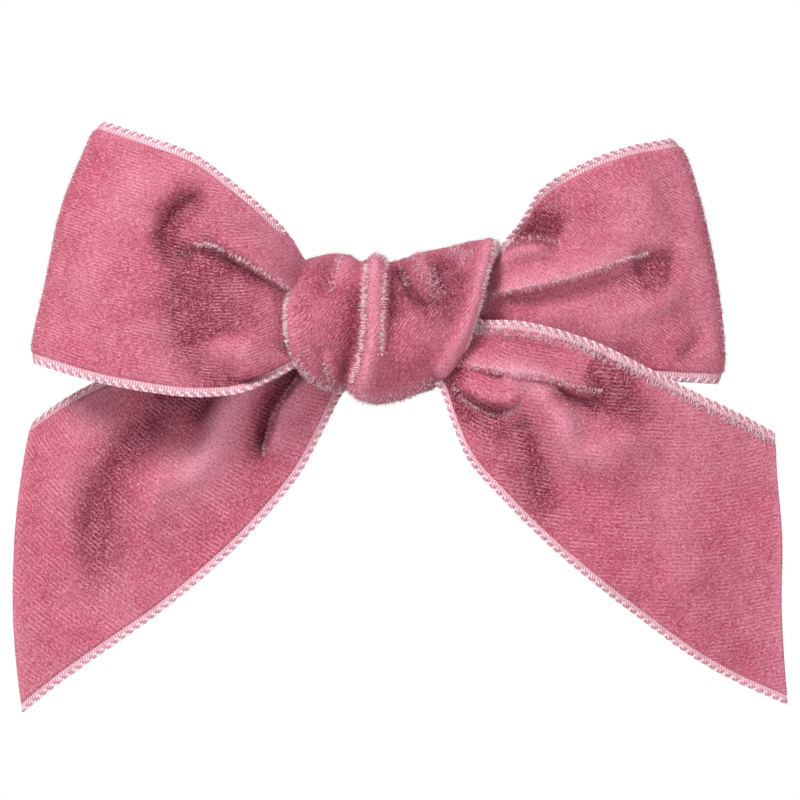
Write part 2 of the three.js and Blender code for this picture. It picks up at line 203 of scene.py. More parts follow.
class Stretch:
    """One stretch of ribbon, s along it (0 to 1) and v across it (0 lower edge, 1 upper edge).

    bottom and top are its edges in shares of the node's box. path says how far along them (0 to 1)
    and at which y the ribbon runs: a loop's path goes out and comes back. crown bulges the front,
    bulge, overshoot and shoulder shape the far end, waves ripples it, emerge is where folds begin,
    grain is the angle of the weave, and hidden_top is where the upper border comes into sight.
    """

    CUT_TINT, CUT_SPREAD = 0.35, 1.3  # pale pile along a cut end
    BACK_CROWN, BACK_WAVES = 0.8, 0.5  # shares of crown and waves that a loop's back has
    SHOULDER_PLACE, SHOULDER_WIDTH = 0.62, 0.24
    FAR, FARTHEST = 0.6, 0.88  # where the far end's shape begins, and its last overshoot

    def __init__(self, node, hand, bottom, top, path, folds, crown=0.0, bulge=0.0, overshoot=0.0, waves=0.0,
                 shoulder=0.0, emerge=(0.0, 0.1), grain=0.0, hidden_top=None, seed=0):
        self.node, self.hand, self.crown, self.bulge, self.waves = node, hand, crown, bulge, waves
        self.overshoot, self.shoulder, self.emerge, self.hidden_top = overshoot, shoulder, emerge, hidden_top
        self.grain, self.seed = math.radians(grain), seed
        self.place = shares_of(node)
        self.bottom = Line([self.place(p) for p in bottom])
        self.top = Line([self.place(p) for p in top])
        self.reach = (self.bottom.length + self.top.length) / 2
        self.path = Line([(t * self.reach, y) for t, y in path])
        self.length = self.path.length
        farthest = int(np.argmax(self.path.points[:, 0]))
        self.turn = self.path.share[farthest] if farthest < len(self.path.share) - 2 else None
        self.relief = Relief(self.place, folds)

    def width(self, s):
        t = self.path.at(s)[..., 0] / self.reach
        return np.linalg.norm(self.top.at(t) - self.bottom.at(t), axis=-1)

    def widest(self):
        return self.width(np.linspace(0, 1, 60)).max()

    def front(self, s):
        """1 on the front layer, fading to 0 as a loop turns back."""
        return np.ones(np.shape(s)) if self.turn is None else 1 - smooth(self.turn - 0.1, self.turn, s)

    def surface(self, s, v):
        """Points of the ribbon, and the painted light and shade on its pile there, with the pale pile along
        a cut end.
        """
        s, v = np.broadcast_arrays(np.asarray(s, float), np.asarray(v, float))
        path = self.path.at(s)
        t, y = path[..., 0] / self.reach, path[..., 1]
        low, high = self.bottom.at(t), self.top.at(t)
        across = unit(high - low)
        outward = np.stack([across[..., 1], -across[..., 0]], -1) * self.hand
        belly = 4 * v * (1 - v)
        shoulder = self.shoulder * bell(v - self.SHOULDER_PLACE, self.SHOULDER_WIDTH)
        out = (self.bulge * belly + shoulder) * smooth(self.FAR, 1, t)
        out = out + self.overshoot * (1 - np.abs(2 * v - 1) ** 12) * smooth(self.FARTHEST, 1, t)
        x, z = np.moveaxis(low + (high - low) * v[..., None] + outward * out[..., None], -1, 0)
        lift, tint = self.relief.read(x, z)
        front = self.front(s)
        rise = smooth(0.0, 0.3, t) * (1 - smooth(0.75, 1, t) * (self.turn is not None))
        soft = self.crown * belly * rise
        ripple = np.sin(0.31 * x + 0.17 * z + self.seed) * np.sin(0.23 * z - 0.11 * x + 2 * self.seed)
        ripple = self.waves * ripple
        back = (1 - front) * (self.BACK_CROWN * soft + self.BACK_WAVES * ripple)
        lifted = front * (lift * smooth(*self.emerge, t) + soft + ripple) - back
        cut = 0.0 if self.turn else self.CUT_TINT * bell((1 - s) * self.length, self.CUT_SPREAD)
        return np.stack([x, y - lifted, z], -1), tint * front + cut

    def at(self, s, v):
        return self.surface(s, v)[0]

    def axes(self, s, v):
        """Position, outward normal, direction along and direction across."""
        e = 0.0015
        along = unit(self.at(np.minimum(s + e, 1), v) - self.at(np.maximum(s - e, 0), v))
        across = unit(self.at(s, v + e) - self.at(s, v - e))
        return self.at(s, v), unit(np.cross(along, across)) * self.hand, along, across

    def from_edge(self, s, distance, upper):
        """v at a distance from the upper or the lower edge."""
        share = distance / self.width(s)
        return 1 - share if upper else share

    def pile_limits(self, s):
        """The lowest and highest v of the pile, which reaches the edge where the upper border is hidden."""
        least = self.from_edge(s, SELVEDGE, False)
        shown = 1.0 if self.hidden_top is None else smooth(*self.hidden_top, s)
        return least, 1 - least * shown

    def pile_top(self, s, v):
        """Points on top of the pile, their axes, and their distance from the edge of the pile."""
        least, most = self.pile_limits(s)
        distance = np.maximum(np.minimum(v - least, most - v) * self.width(s), 0)
        p, normal, along, across = self.axes(s, v)
        lift = PILE_LIFT * (1 - bell(distance, PILE_ROUND))
        return p + normal * lift[..., None], p, normal, along, across, distance


# ---------------------------------------------------------------- meshes


def mesh_from(name, points, faces, indices=None, attributes=None):
    """An object of points in mm, faces of one size, their material indices and values for each point."""
    mesh = bpy.data.meshes.new(name)
    points, faces = np.asarray(points, float).reshape(-1, 3) * MM, np.asarray(faces)
    count, size = faces.shape
    mesh.vertices.add(len(points))
    mesh.vertices.foreach_set("co", points.astype(np.float32).ravel())
    mesh.loops.add(faces.size)
    mesh.loops.foreach_set("vertex_index", faces.astype(np.int32).ravel())
    mesh.polygons.add(count)
    mesh.polygons.foreach_set("loop_start", np.arange(0, faces.size, size, dtype=np.int32))
    mesh.polygons.foreach_set("loop_total", np.full(count, size, dtype=np.int32))
    mesh.polygons.foreach_set("use_smooth", np.ones(count, dtype=bool))
    if indices is not None:
        mesh.polygons.foreach_set("material_index", np.asarray(indices, dtype=np.int32))
    for key, values in (attributes or {}).items():
        kind, field = ("FLOAT_VECTOR", "vector") if values.shape[-1] == 3 else ("FLOAT", "value")
        layer = mesh.attributes.new(key, kind, "POINT")
        layer.data.foreach_set(field, values.astype(np.float32).ravel())
    mesh.update(calc_edges=True)
    mesh.validate()
    obj = bpy.data.objects.new(name, mesh)
    bpy.context.scene.collection.objects.link(obj)
    return obj


def quads_of(index):
    """Quads between the neighbours in a grid of vertex numbers."""
    return np.stack([index[:-1, :-1], index[1:, :-1], index[1:, 1:], index[:-1, 1:]], -1).reshape(-1, 4)


def slab(name, top, under, cloth, tint, wrap=False):
    """A closed sheet between two grids of points. Material 0 is the top, 1 the underside and rim."""
    count = top.shape[0] * top.shape[1]
    index = np.arange(count).reshape(top.shape[:2])
    if wrap:
        index = np.concatenate([index, index[:1]])
    rings = [index[:, 0], index[::-1, -1]] + ([] if wrap else [index[0, ::-1], index[-1]])
    rim = np.concatenate([np.stack([a[:-1], a[1:], a[1:] + count, a[:-1] + count], -1) for a in rings])
    quads = quads_of(index)
    both = lambda values: np.concatenate([values.reshape(count, -1)] * 2)
    obj = mesh_from(
        name,
        np.concatenate([top.reshape(-1, 3), under.reshape(-1, 3)]),
        np.concatenate([quads, quads[:, ::-1] + count, rim]),
        np.repeat([0, 1], [len(quads), len(quads) + len(rim)]),
        {"cloth": both(cloth), "tint": both(tint)},
    )
    shell = bmesh.new()
    shell.from_mesh(obj.data)
    bmesh.ops.recalc_face_normals(shell, faces=shell.faces)
    shell.to_mesh(obj.data)
    shell.free()
    return obj


def turned(along, across, angle):
    """Flat coordinates of the cloth, turned by the angle of its weave."""
    c, s = math.cos(angle), math.sin(angle)
    return np.stack([along * c + across * s, across * c - along * s, 0 * along], -1)


def rings_round(direction, helper, sides):
    """For each direction, points of a unit circle at right angles to it."""
    a = unit(np.cross(direction, helper))
    b = np.cross(direction, a)
    turn = (2 * math.pi * np.arange(sides) / sides)[:, None]
    return np.cos(turn) * a[:, None] + np.sin(turn) * b[:, None]


def strands(name, lines, radii, sides, tones):
    """Tubes along lines, narrowed to small open ends. tones picks the material of each."""
    vertices, quads = [], []
    for points, radius in zip(lines, radii):
        tangent = unit(np.gradient(points, axis=0))
        helper = np.where(np.abs(tangent[:, 1:2]) > 0.9, [[1.0, 0, 0]], [[0, 1.0, 0]])
        size = (radius * np.ones(len(points)))[:, None, None]
        size[[0, -1]] *= 0.35
        index = np.arange(len(points) * sides).reshape(-1, sides) + sum(map(len, vertices))
        quads.append(quads_of(np.concatenate([index, index[:, :1]], 1).T))
        vertices.append((points[:, None] + rings_round(tangent, helper, sides) * size).reshape(-1, 3))
    indices = np.repeat(tones, [len(part) for part in quads])
    return mesh_from(name, np.concatenate(vertices), np.concatenate(quads), indices)


def ribbon_piece(stretch, name):
    """The pile and the cloth of a stretch, without its borders."""
    s, even = np.meshgrid(
        np.linspace(0, 1, int(stretch.length / GRID_STEP)),
        np.linspace(0, 1, int(stretch.widest() / GRID_STEP)),
        indexing="ij",
    )
    even = even - 0.035 * np.sin(2 * math.pi * even)  # finer rows near both edges
    least, most = stretch.pile_limits(s)
    v = least + (most - least) * even
    top, p, normal, _, _, distance = stretch.pile_top(s, v)
    # Painted light and shade of the folds, with paler pile beside the borders.
    tint = stretch.surface(s, v)[1] + EDGE_TINT * bell(distance, EDGE_SPREAD)
    cloth = turned(s * stretch.length, v * stretch.width(s), stretch.grain)
    return slab(name, top, p - normal * CLOTH, cloth, tint)


def edge_run(stretch, upper, from_s):
    """A function from a length along one edge of the ribbon to s, and the edge's length."""
    s = np.linspace(from_s, 1.0, 700)
    run = run_along(stretch.at(s, float(upper)))
    return (lambda d: np.interp(d, run, s)), run[-1]


def border_band(stretch, name, upper, from_s):
    """The flat woven border: ribs across its inner half, closed underneath."""
    where, length = edge_run(stretch, upper, from_s)
    hump = BAND_HUMP * np.sin(math.pi * (BAND_ROWS - BAND_ROWS[0]) / np.ptp(BAND_ROWS))
    run, across = np.meshgrid(np.linspace(0, length, int(length / RIB_STEP)), BAND_ROWS, indexing="ij")
    s = where(run)
    p, normal, _, _ = stretch.axes(s, stretch.from_edge(s, across, upper))
    ribs = RIB_HEIGHT * np.cos(2 * math.pi * run / RIB_PITCH) * smooth(0.5, 0.8, across)
    top = p + normal * (BAND_RISE + ribs + hump)[..., None]
    return slab(name, top, p - normal * BAND_DEPTH, np.stack([run, across, 0 * run], -1), 0 * run)


def border_rope(stretch, name, upper, from_s):
    """Two strands that turn round each other along the outer rim of the border."""
    where, length = edge_run(stretch, upper, from_s)
    run = np.linspace(0, length, int(length / ROPE_PITCH * ROPE_POINTS))
    rng = np.random.default_rng(31 + stretch.seed * 2 + upper)
    uneven = lambda values: np.interp(run, np.linspace(0, length, len(values)), values)
    wobble = uneven(rng.normal(0, 0.25, 60))
    lines, radii = [], []
    for strand in (0, 1):
        phase = 2 * math.pi * run / ROPE_PITCH + math.pi * strand + wobble
        s = where(np.clip(run + 0.12 * np.sin(2 * phase), 0, length))
        distance = ROPE_MIDDLE - ROPE_SWING * np.cos(phase)
        p, normal, _, _ = stretch.axes(s, stretch.from_edge(s, distance, upper))
        radii.append(ROPE_RADIUS * (1 + 0.2 * uneven(rng.normal(0, 1, 150).clip(-1.5, 1.5))))
        lines.append(p + normal * (ROPE_RISE + ROPE_HEIGHT * np.sin(phase))[:, None])
    return strands(name, lines, radii, 5, [0, 1])


# ---------------------------------------------------------------- pile fibres

STRAIGHT_HAIR = np.array([[0, 1, 3], [1, 2, 3], [2, 0, 3], [2, 1, 0]])
BENT_HAIR = np.array([[0, 1, 4], [0, 4, 3], [1, 2, 5], [1, 5, 4], [2, 0, 3], [2, 3, 5],
                      [3, 4, 6], [4, 5, 6], [5, 3, 6], [2, 1, 0]])


def fibres(name, root, direction, length, width, tones, bend=None):
    """Closed three-sided hairs. tones picks one of the piece's materials for each hair."""
    direction = unit(direction)
    helper = np.where(np.abs(direction[:, :1]) > 0.8, [[0, 0, 1.0]], [[1.0, 0, 0]])
    ring = rings_round(direction, helper, 3) * (width / 2)[:, None, None]
    reach = length[:, None] * direction
    parts, faces = [root[:, None] + ring, (root + reach)[:, None]], STRAIGHT_HAIR
    if bend is not None:
        parts.insert(1, (root + 0.55 * reach)[:, None] + 0.8 * ring)
        parts[-1] = parts[-1] + (bend * length[:, None])[:, None]
        faces = BENT_HAIR
    vertices = np.concatenate(parts, 1)
    count, size = vertices.shape[:2]
    all_faces = (faces + size * np.arange(count)[:, None, None]).reshape(-1, 3)
    return mesh_from(name, vertices, all_faces, np.repeat(tones, len(faces)))


def tones_of(rng, mean, spread, count=None):
    """Material numbers 0 to 2, scattered round a mean."""
    return np.clip(np.round(rng.normal(mean, spread, count)), 0, 2)


# A hair's tone follows the painted light and shade: darker hairs in painted shade, paler hairs in painted
# highlights.
def pile_tones(rng, tint, spread):
    return tones_of(rng, 1.0 + 0.9 * np.clip(tint, -1, 1), spread)


def spread_pile(stretch, name, seed, per_mm2=6.0):
    """Hairs all over the pile of one stretch, leaning along its weave."""
    rng = np.random.default_rng(seed)
    n = int(stretch.length * stretch.widest() * per_mm2)
    s, v = rng.uniform(0.0, 1.0, n), rng.uniform(0.0, 1.0, n)
    keep = rng.uniform(0, 1, n) < stretch.width(s) / stretch.widest()
    least, most = stretch.pile_limits(s)
    keep &= (v > least) & (v < most)
    s, v = s[keep], v[keep]
    n = len(s)
    top, _, normal, along, across, _ = stretch.pile_top(s, v)
    ahead = along * rng.normal(math.cos(stretch.grain), 0.3, (n, 1))
    lean = normal * 0.4 + ahead + across * rng.normal(math.sin(stretch.grain), 0.3, (n, 1))
    lengths = rng.uniform(*PILE_LENGTHS, n) + ROOT_DEPTH
    tones = pile_tones(rng, stretch.surface(s, v)[1], 0.8)
    return fibres(name, top - normal * ROOT_DEPTH, lean, lengths, np.full(n, PILE_WIDTH), tones)


def finder(surface, firsts, seconds):
    """A function from (x, z) to the surface's parameters there, taken from the nearest point of a grid."""
    first, second = (grid.ravel() for grid in np.meshgrid(firsts, seconds, indexing="ij"))
    tree = KDTree(len(first))
    for k, (x, _, z) in enumerate(surface.at(first, second)):
        tree.insert((x, z, 0), k)
    tree.balance()

    def find(points):
        nearest = [tree.find((x, z, 0))[1] for x, z in points]
        return first[nearest], second[nearest]

    return find


def fringe(surface, find, rows, name, seed):
    """Pale hairs along fold edges, a line of them for each row."""
    rng = np.random.default_rng(seed)
    grown = []
    for points, per_mm, spread, lean, lengths, tone in rows:
        line = Line([surface.place(p) for p in points], 160)
        n = int(line.length * per_mm)
        at = rng.uniform(0, 1, n)
        ahead = unit(line.at(np.minimum(at + 0.01, 1)) - line.at(np.maximum(at - 0.01, 0)))
        left = np.stack([-ahead[:, 1], ahead[:, 0]], -1)
        p, normal, _, _ = surface.axes(*find(line.at(at) + left * rng.normal(0, spread, n)[:, None]))
        side, forward = (np.stack([way[:, 0], 0 * at, way[:, 1]], -1) for way in (left, ahead))
        way = normal * 0.75 + side * rng.normal(lean, 0.3, (n, 1)) + forward * rng.normal(0, 0.35, (n, 1))
        sizes, tones = rng.uniform(*lengths, n), tones_of(rng, tone, 0.7, n)
        grown.append((p + normal * FRINGE_FOOT, way, sizes, tones))
    roots, ways, sizes, tones = (np.concatenate(parts) for parts in zip(*grown))
    bend = rng.normal(0, 0.18, ways.shape)
    return fibres(name, roots, ways, sizes, rng.uniform(*FRINGE_WIDTHS, len(sizes)), tones, bend)


def fold_hairs(stretch, name, seed, per_mm=15):
    """Hairs along a loop's outer fold, where the pile stands open."""
    rng = np.random.default_rng(seed)
    n = int(stretch.width(stretch.turn) * per_mm)
    v = rng.uniform(0.05, 0.95, n)
    p, normal, along, across = stretch.axes(stretch.turn + rng.normal(-0.006, 0.006, n), v)
    way = normal + across * rng.normal(-0.45, 0.35, (n, 1)) + along * rng.normal(-0.3, 0.3, (n, 1))
    tones = tones_of(rng, 1.1, 0.7, n)
    lengths, widths = rng.uniform(*FOLD_LENGTHS, n), np.full(n, FOLD_WIDTH)
    return fibres(name, p + normal * FOLD_FOOT, way, lengths, widths, tones, rng.normal(0, 0.15, (n, 3)))


def upper_tufts(stretch, name, seed, per_mm=16):
    """Upright tufts along the inner side of the upper border, combed towards the rim."""
    where, length = edge_run(stretch, True, 0.02)
    rng = np.random.default_rng(seed)
    n = int(length * per_mm)
    s = where(rng.uniform(0, length, n))
    p, normal, along, across = stretch.axes(s, stretch.from_edge(s, rng.uniform(*TUFT_PLACES, n), True))
    way = normal * 0.55 + across * rng.normal(0.7, 0.25, (n, 1)) + along * rng.normal(0, 0.2, (n, 1))
    tones = tones_of(rng, 1.6, 0.6, n)
    lengths, widths = rng.uniform(*TUFT_LENGTHS, n), rng.uniform(*TUFT_WIDTHS, n)
    return fibres(name, p + normal * TUFT_FOOT, way, lengths, widths, tones, rng.normal(0, 0.12, (n, 3)))


# ---------------------------------------------------------------- the four free stretches

LEFT_LOOP = dict(
    bottom=[(1.057, 0.175), (0.92, 0.085), (0.841, 0.04), (0.751, -0.002), (0.603, -0.021), (0.383, 0.002),
            (0.164, 0.051), (-0.006, 0.107)],
    top=[(1.057, 0.401), (0.96, 0.507), (0.913, 0.586), (0.812, 0.696), (0.697, 0.797), (0.589, 0.88),
         (0.409, 0.956), (0.247, 1.016)],
    path=[(0, -18.2), (0.1, -20.6), (0.2, -23.4), (0.35, -25.2), (0.65, -25.6), (0.9, -23.2), (0.985, -20.9),
          (1, -19.2), (0.975, -17.6), (0.9, -16.4), (0.6, -14.9), (0.3, -14.3), (0, -14.6)],
    folds=[
        Fold([(0.95, 0.36), (0.86, 0.42), (0.75, 0.49), (0.69, 0.525), (0.63, 0.55), (0.575, 0.545)], 2.6,
             0.45, 4.0, (0, 0.3), 0.5, (0.3, 1.6), -0.1),
        Fold([(0.95, 0.44), (0.81, 0.54), (0.715, 0.585), (0.625, 0.61), (0.525, 0.605)], 1.7, 2.6, 2.6,
             (0, 0.2), 0.2),
        Fold([(0.96, 0.34), (0.86, 0.41), (0.75, 0.48), (0.69, 0.515), (0.64, 0.535), (0.595, 0.53),
             (0.54, 0.49)], -1.5, 2.6, 0.8, (0, 0.2), -0.6, (2.2, 0.6)),
        Fold([(0.6, 0.505), (0.555, 0.495), (0.51, 0.5), (0.48, 0.54), (0.472, 0.6), (0.49, 0.66),
             (0.54, 0.705), (0.65, 0.73)], -2.8, 1.7, 2.0, (0.15, 0.25), -1.9, (1.4, 2.4)),
        Fold([(0.54, 0.44), (0.56, 0.32), (0.59, 0.16)], 0.0, 5, 5, (0, 0.2), -1.45, (9.0, 2.6)),
        Fold([(0.95, 0.46), (0.85, 0.57), (0.74, 0.66)], 0.0, 4, 4, (0, 0.3), 0.2, (3.5, 3.5)),
        Fold([(0.465, 0.62), (0.455, 0.55), (0.49, 0.505), (0.56, 0.495)], 0.0, 1, 1, (0.2, 0.2), -1.3,
             (1.6, 1.6)),
        Fold([(0.52, 0.6), (0.56, 0.575), (0.62, 0.56)], 0.0, 1, 1, (0.2, 0.3), 0.6, (1.8, 1.8)),
        Fold([(0.97, 0.33), (0.955, 0.22), (0.93, 0.12)], -0.8, 1.5, 1.8, (0, 0.1), -2.0, (1.5, 3.2)),
        Fold([(0.525, 0.48), (0.51, 0.385), (0.525, 0.255), (0.563, 0.135), (0.63, 0.05), (0.75, 0.015)],
             -2.0, 4.6, 3.4, (0.25, 0.1), -0.9, (3.0, 2.6)),
        Fold([(0.68, 0.03), (0.77, 0.045), (0.85, 0.072), (0.95, 0.12)], -2.8, 0.8, 0.9, (0.3, 0), -1.4,
             (0.7, 0.9)),
        Fold([(0.7, 0.84), (0.46, 0.81), (0.32, 0.735), (0.21, 0.53), (0.11, 0.25)], 1.2, 4.5, 4.5,
             (0.2, 0.2), 0.27, (3, 3)),
        Fold([(0.62, 0.17), (0.72, 0.14), (0.82, 0.17)], 0.8, 2.2, 2.2, (0.3, 0.3), 0.45),
    ],
    crown=1.2, bulge=0.4, overshoot=1.15, waves=0.3, shoulder=1.1, emerge=(0.11, 0.36), grain=3.0,
    hidden_top=(0.1, 0.16),
)
RIGHT_LOOP = dict(
    bottom=[(-0.046, 0.128), (0.149, 0.095), (0.383, 0.061), (0.695, 0.011), (0.999, -0.013)],
    top=[(0.032, 0.378), (0.149, 0.544), (0.18, 0.599), (0.227, 0.661), (0.305, 0.794), (0.422, 0.877),
         (0.617, 0.965), (0.82, 1.012)],
    path=[(0, -17.8), (0.12, -19.4), (0.3, -21.2), (0.65, -21.6), (0.9, -19.6), (0.985, -17.6), (1, -16.1),
          (0.975, -14.7), (0.9, -13.6), (0.6, -12.7), (0.3, -12.6), (0, -13.4)],
    folds=[
        Fold([(0.07, 0.342), (0.12, 0.357), (0.375, 0.415), (0.585, 0.485), (0.735, 0.54)], 2.6, 3.2, 0.45,
             (0, 0.35), 0.6, (1.8, 0.3), 0.1),
        Fold([(0.64, 0.485), (0.76, 0.5), (0.88, 0.475)], -2.2, 2.0, 3.2, (0.25, 0.3), -1.6, (1.6, 3.6)),
        Fold([(0.6, 0.44), (0.7, 0.4), (0.82, 0.36)], 0.0, 3, 3, (0.2, 0.3), -0.7, (3.2, 3.2)),
        Fold([(0.1, 0.305), (0.375, 0.37), (0.617, 0.445), (0.72, 0.475)], -0.6, 1.0, 3.0, (0, 0.2), -0.1,
             (0.8, 1.5)),
        Fold([(0.07, 0.43), (0.168, 0.515), (0.266, 0.548), (0.385, 0.525)], 2.0, 0.8, 2.0, (0, 0.3), 0.5,
             (0.6, 1.2)),
        Fold([(0.16, 0.575), (0.24, 0.6), (0.32, 0.595), (0.4, 0.56)], -3.6, 3.0, 0.8, (0, 0.3), -3.0,
             (3.4, 1.3)),
        Fold([(0.03, 0.48), (0.06, 0.36), (0.07, 0.26)], 0.0, 2, 2, (0.2, 0.1), 0.7, (2.2, 2.2)),
        Fold([(0.26, 0.68), (0.33, 0.77), (0.44, 0.83)], -0.9, 1.4, 3.0, (0.1, 0.4), -0.5, (1.2, 3.0)),
        Fold([(0.3, 0.73), (0.45, 0.66), (0.62, 0.62)], -0.6, 3, 3, (0.3, 0.4), -0.3),
        Fold([(0.62, 0.9), (0.78, 0.6), (0.87, 0.3)], 0.9, 5, 5, (0.3, 0.3), 0.25),
        Fold([(0.86, 0.52), (0.9, 0.56), (0.95, 0.6)], 0.8, 2, 2, (0.3, 0.3), 0.4),
        Fold([(0.86, 0.97), (0.94, 0.6), (1.0, 0.05)], 0.0, 2, 2, (0.1, 0.1), 0.9, (2.6, 2.6)),
        Fold([(0.6, 0.28), (0.79, 0.33), (0.87, 0.42)], 0.9, 1.8, 1.8, (0.3, 0.3), 0.4),
        Fold([(0.85, 0.06), (0.9, 0.145), (0.975, 0.23)], -0.9, 1.4, 1.4, (0.2, 0.3), -0.8),
        Fold([(0.4, 0.12), (0.6, 0.1), (0.8, 0.08)], -0.5, 2.2, 2.2, (0.2, 0.3), -0.5),
        Fold([(0.25, 0.25), (0.5, 0.28), (0.75, 0.2)], 0.5, 2.4, 2.4, (0.2, 0.3), 0.15),
    ],
    crown=1.0, bulge=1.6, overshoot=1.3, waves=0.3, emerge=(0.04, 0.3), grain=-38.0,
)
LEFT_TAIL = dict(
    bottom=[(1.026, 0.927), (0.974, 0.872), (0.918, 0.777), (0.84, 0.648), (0.705, 0.5), (0.542, 0.36),
            (0.391, 0.251), (0.24, 0.156), (0.119, 0.079), (-0.007, -0.011)],
    top=[(0.935, 0.955), (0.784, 0.96), (0.542, 0.955), (0.331, 0.944), (0.24, 0.911), (0.125, 0.856),
         (0.02, 0.789)],
    path=[(0, -13.6), (0.3, -13.0), (0.65, -13.2), (1, -11.4)],
    folds=[
        Fold([(0.87, 0.95), (0.784, 0.873), (0.748, 0.82), (0.73, 0.747), (0.705, 0.64)], -3.2, 0.9, 2.6,
             (0, 0.35), -1.2, (0.7, 2.2)),
        Fold([(0.88, 0.94), (0.82, 0.867), (0.785, 0.82), (0.768, 0.764), (0.745, 0.68)], 2.4, 2.6, 0.5,
             (0, 0.3), 0.6, (3.2, 0.3)),
        Fold([(0.6, 0.95), (0.565, 0.85), (0.5, 0.765)], -2.0, 1.0, 2.4, (0, 0.4), -1.6, (0.9, 2.8)),
        Fold([(0.68, 0.92), (0.615, 0.83), (0.56, 0.71), (0.45, 0.58)], 2.0, 2.6, 2.2, (0, 0.3), 1.0,
             (3.4, 2.0)),
        Fold([(0.5, 0.95), (0.41, 0.84), (0.34, 0.75), (0.26, 0.636), (0.205, 0.516), (0.215, 0.36),
             (0.25, 0.2)], -2.4, 5.0, 2.6, (0, 0.35), -1.1, (4.4, 2.6)),
        Fold([(0.33, 0.62), (0.29, 0.48), (0.32, 0.34)], 0.0, 4, 4, (0.2, 0.3), -0.35, (4.5, 4.5)),
        Fold([(0.14, 0.83), (0.25, 0.88), (0.34, 0.9)], 0.0, 3, 3, (0.1, 0.2), 0.5, (2.5, 2.5)),
        Fold([(0.51, 0.74), (0.42, 0.63), (0.33, 0.47)], 1.5, 3.2, 3.2, (0.3, 0.3), 0.3),
        Fold([(0.66, 0.66), (0.54, 0.495), (0.39, 0.333)], -0.7, 4, 4, (0.3, 0.3), -0.3),
        Fold([(0.3, 0.88), (0.16, 0.72), (0.08, 0.5)], 0.9, 3, 3, (0.2, 0.3), 0.2),
    ],
    bulge=2.2, waves=0.35, grain=57.0,
)
RIGHT_TAIL = dict(
    bottom=[(-0.067, 0.89), (0.03, 0.827), (0.061, 0.747), (0.109, 0.641), (0.207, 0.535), (0.319, 0.429),
            (0.45, 0.323), (0.595, 0.217), (0.749, 0.112), (0.847, 0.059), (1.004, -0.008)],
    top=[(0.03, 1.022), (0.137, 1.012), (0.254, 1.007), (0.366, 0.983), (0.478, 0.946), (0.59, 0.893),
         (0.758, 0.813), (0.898, 0.749), (0.967, 0.713)],
    path=[(0, -19.6), (0.07, -21.2), (0.18, -24.2), (0.4, -25.4), (0.7, -22.4), (1, -19.2)],
    folds=[
        Fold([(0.05, 0.903), (0.095, 0.895), (0.21, 0.877), (0.344, 0.856), (0.408, 0.838), (0.48, 0.828)],
             2.2, 2.8, 0.45, (0, 0.3), 0.5, (1.4, 0.3), 0.1),
        Fold([(0.33, 0.84), (0.408, 0.806), (0.5, 0.8)], -1.9, 0.8, 1.9, (0.25, 0.45), -1.3, (0.7, 2.0)),
        Fold([(0.07, 0.955), (0.25, 0.945), (0.42, 0.9)], -0.7, 1.2, 1.6, (0.1, 0.3), -0.35),
        Fold([(0.19, 0.868), (0.265, 0.85), (0.325, 0.805), (0.37, 0.742), (0.393, 0.672), (0.4, 0.58)], 2.6,
             2.3, 2.6, (0.1, 0.4), 0.8, (2.0, 2.0), 0.5),
        Fold([(0.06, 0.868), (0.114, 0.825), (0.165, 0.8), (0.221, 0.8), (0.255, 0.825)], 2.2, 2.4, 0.6,
             (0, 0.2), 0.25, (1.6, 0.4), 0.1),
        Fold([(0.03, 0.85), (0.11, 0.795), (0.17, 0.775), (0.24, 0.775)], -2.6, 1.2, 3.2, (0.05, 0.3), -2.0,
             (1.3, 3.8)),
        Fold([(0.03, 0.9), (0.07, 0.875), (0.12, 0.855)], 0.0, 2, 2, (0, 0.3), -1.6, (1.8, 1.8)),
        Fold([(0.24, 0.775), (0.295, 0.66), (0.33, 0.553), (0.39, 0.44)], -2.2, 2.0, 4.0, (0.15, 0.4), -1.2,
             (1.8, 4.5)),
        Fold([(0.41, 0.6), (0.46, 0.668), (0.53, 0.69), (0.68, 0.66)], 1.7, 2.2, 5.5, (0.3, 0.6), 0.45,
             (1.3, 3.4)),
        Fold([(0.422, 0.785), (0.508, 0.78), (0.66, 0.735)], -1.1, 3.0, 2.2, (0.2, 0.4), -1.2, (3.2, 2.0)),
        Fold([(0.43, 0.89), (0.5, 0.865), (0.6, 0.825)], 0.0, 2, 2, (0.1, 0.4), -1.7, (2.6, 2.6)),
        Fold([(0.62, 0.6), (0.68, 0.42), (0.75, 0.25)], 0.9, 5, 5, (0.3, 0.3), 0.16),
        Fold([(0.1, 0.66), (0.25, 0.5), (0.45, 0.34)], -0.4, 3, 3, (0.2, 0.4), -0.3),
        Fold([(0.45, 0.9), (0.62, 0.82), (0.85, 0.7)], 0.5, 2, 2, (0.2, 0.3), 0.2),
    ],
    bulge=-0.6, waves=0.4, emerge=(0.05, 0.22), shoulder=0.9, grain=34.0,
)

left_loop = Stretch("left_loop", -1, seed=1, **LEFT_LOOP)
right_loop = Stretch("right_loop", 1, seed=2, **RIGHT_LOOP)
left_tail = Stretch("left_tail", -1, seed=3, **LEFT_TAIL)
right_tail = Stretch("right_tail", 1, seed=4, **RIGHT_TAIL)


# ---------------------------------------------------------------- the knot


def evened(values, kernel, beyond):
    """Values averaged with their neighbours. beyond says how they go on past their ends."""
    return np.convolve(np.pad(values, len(kernel) // 2, mode=beyond), kernel / kernel.sum(), mode="valid")


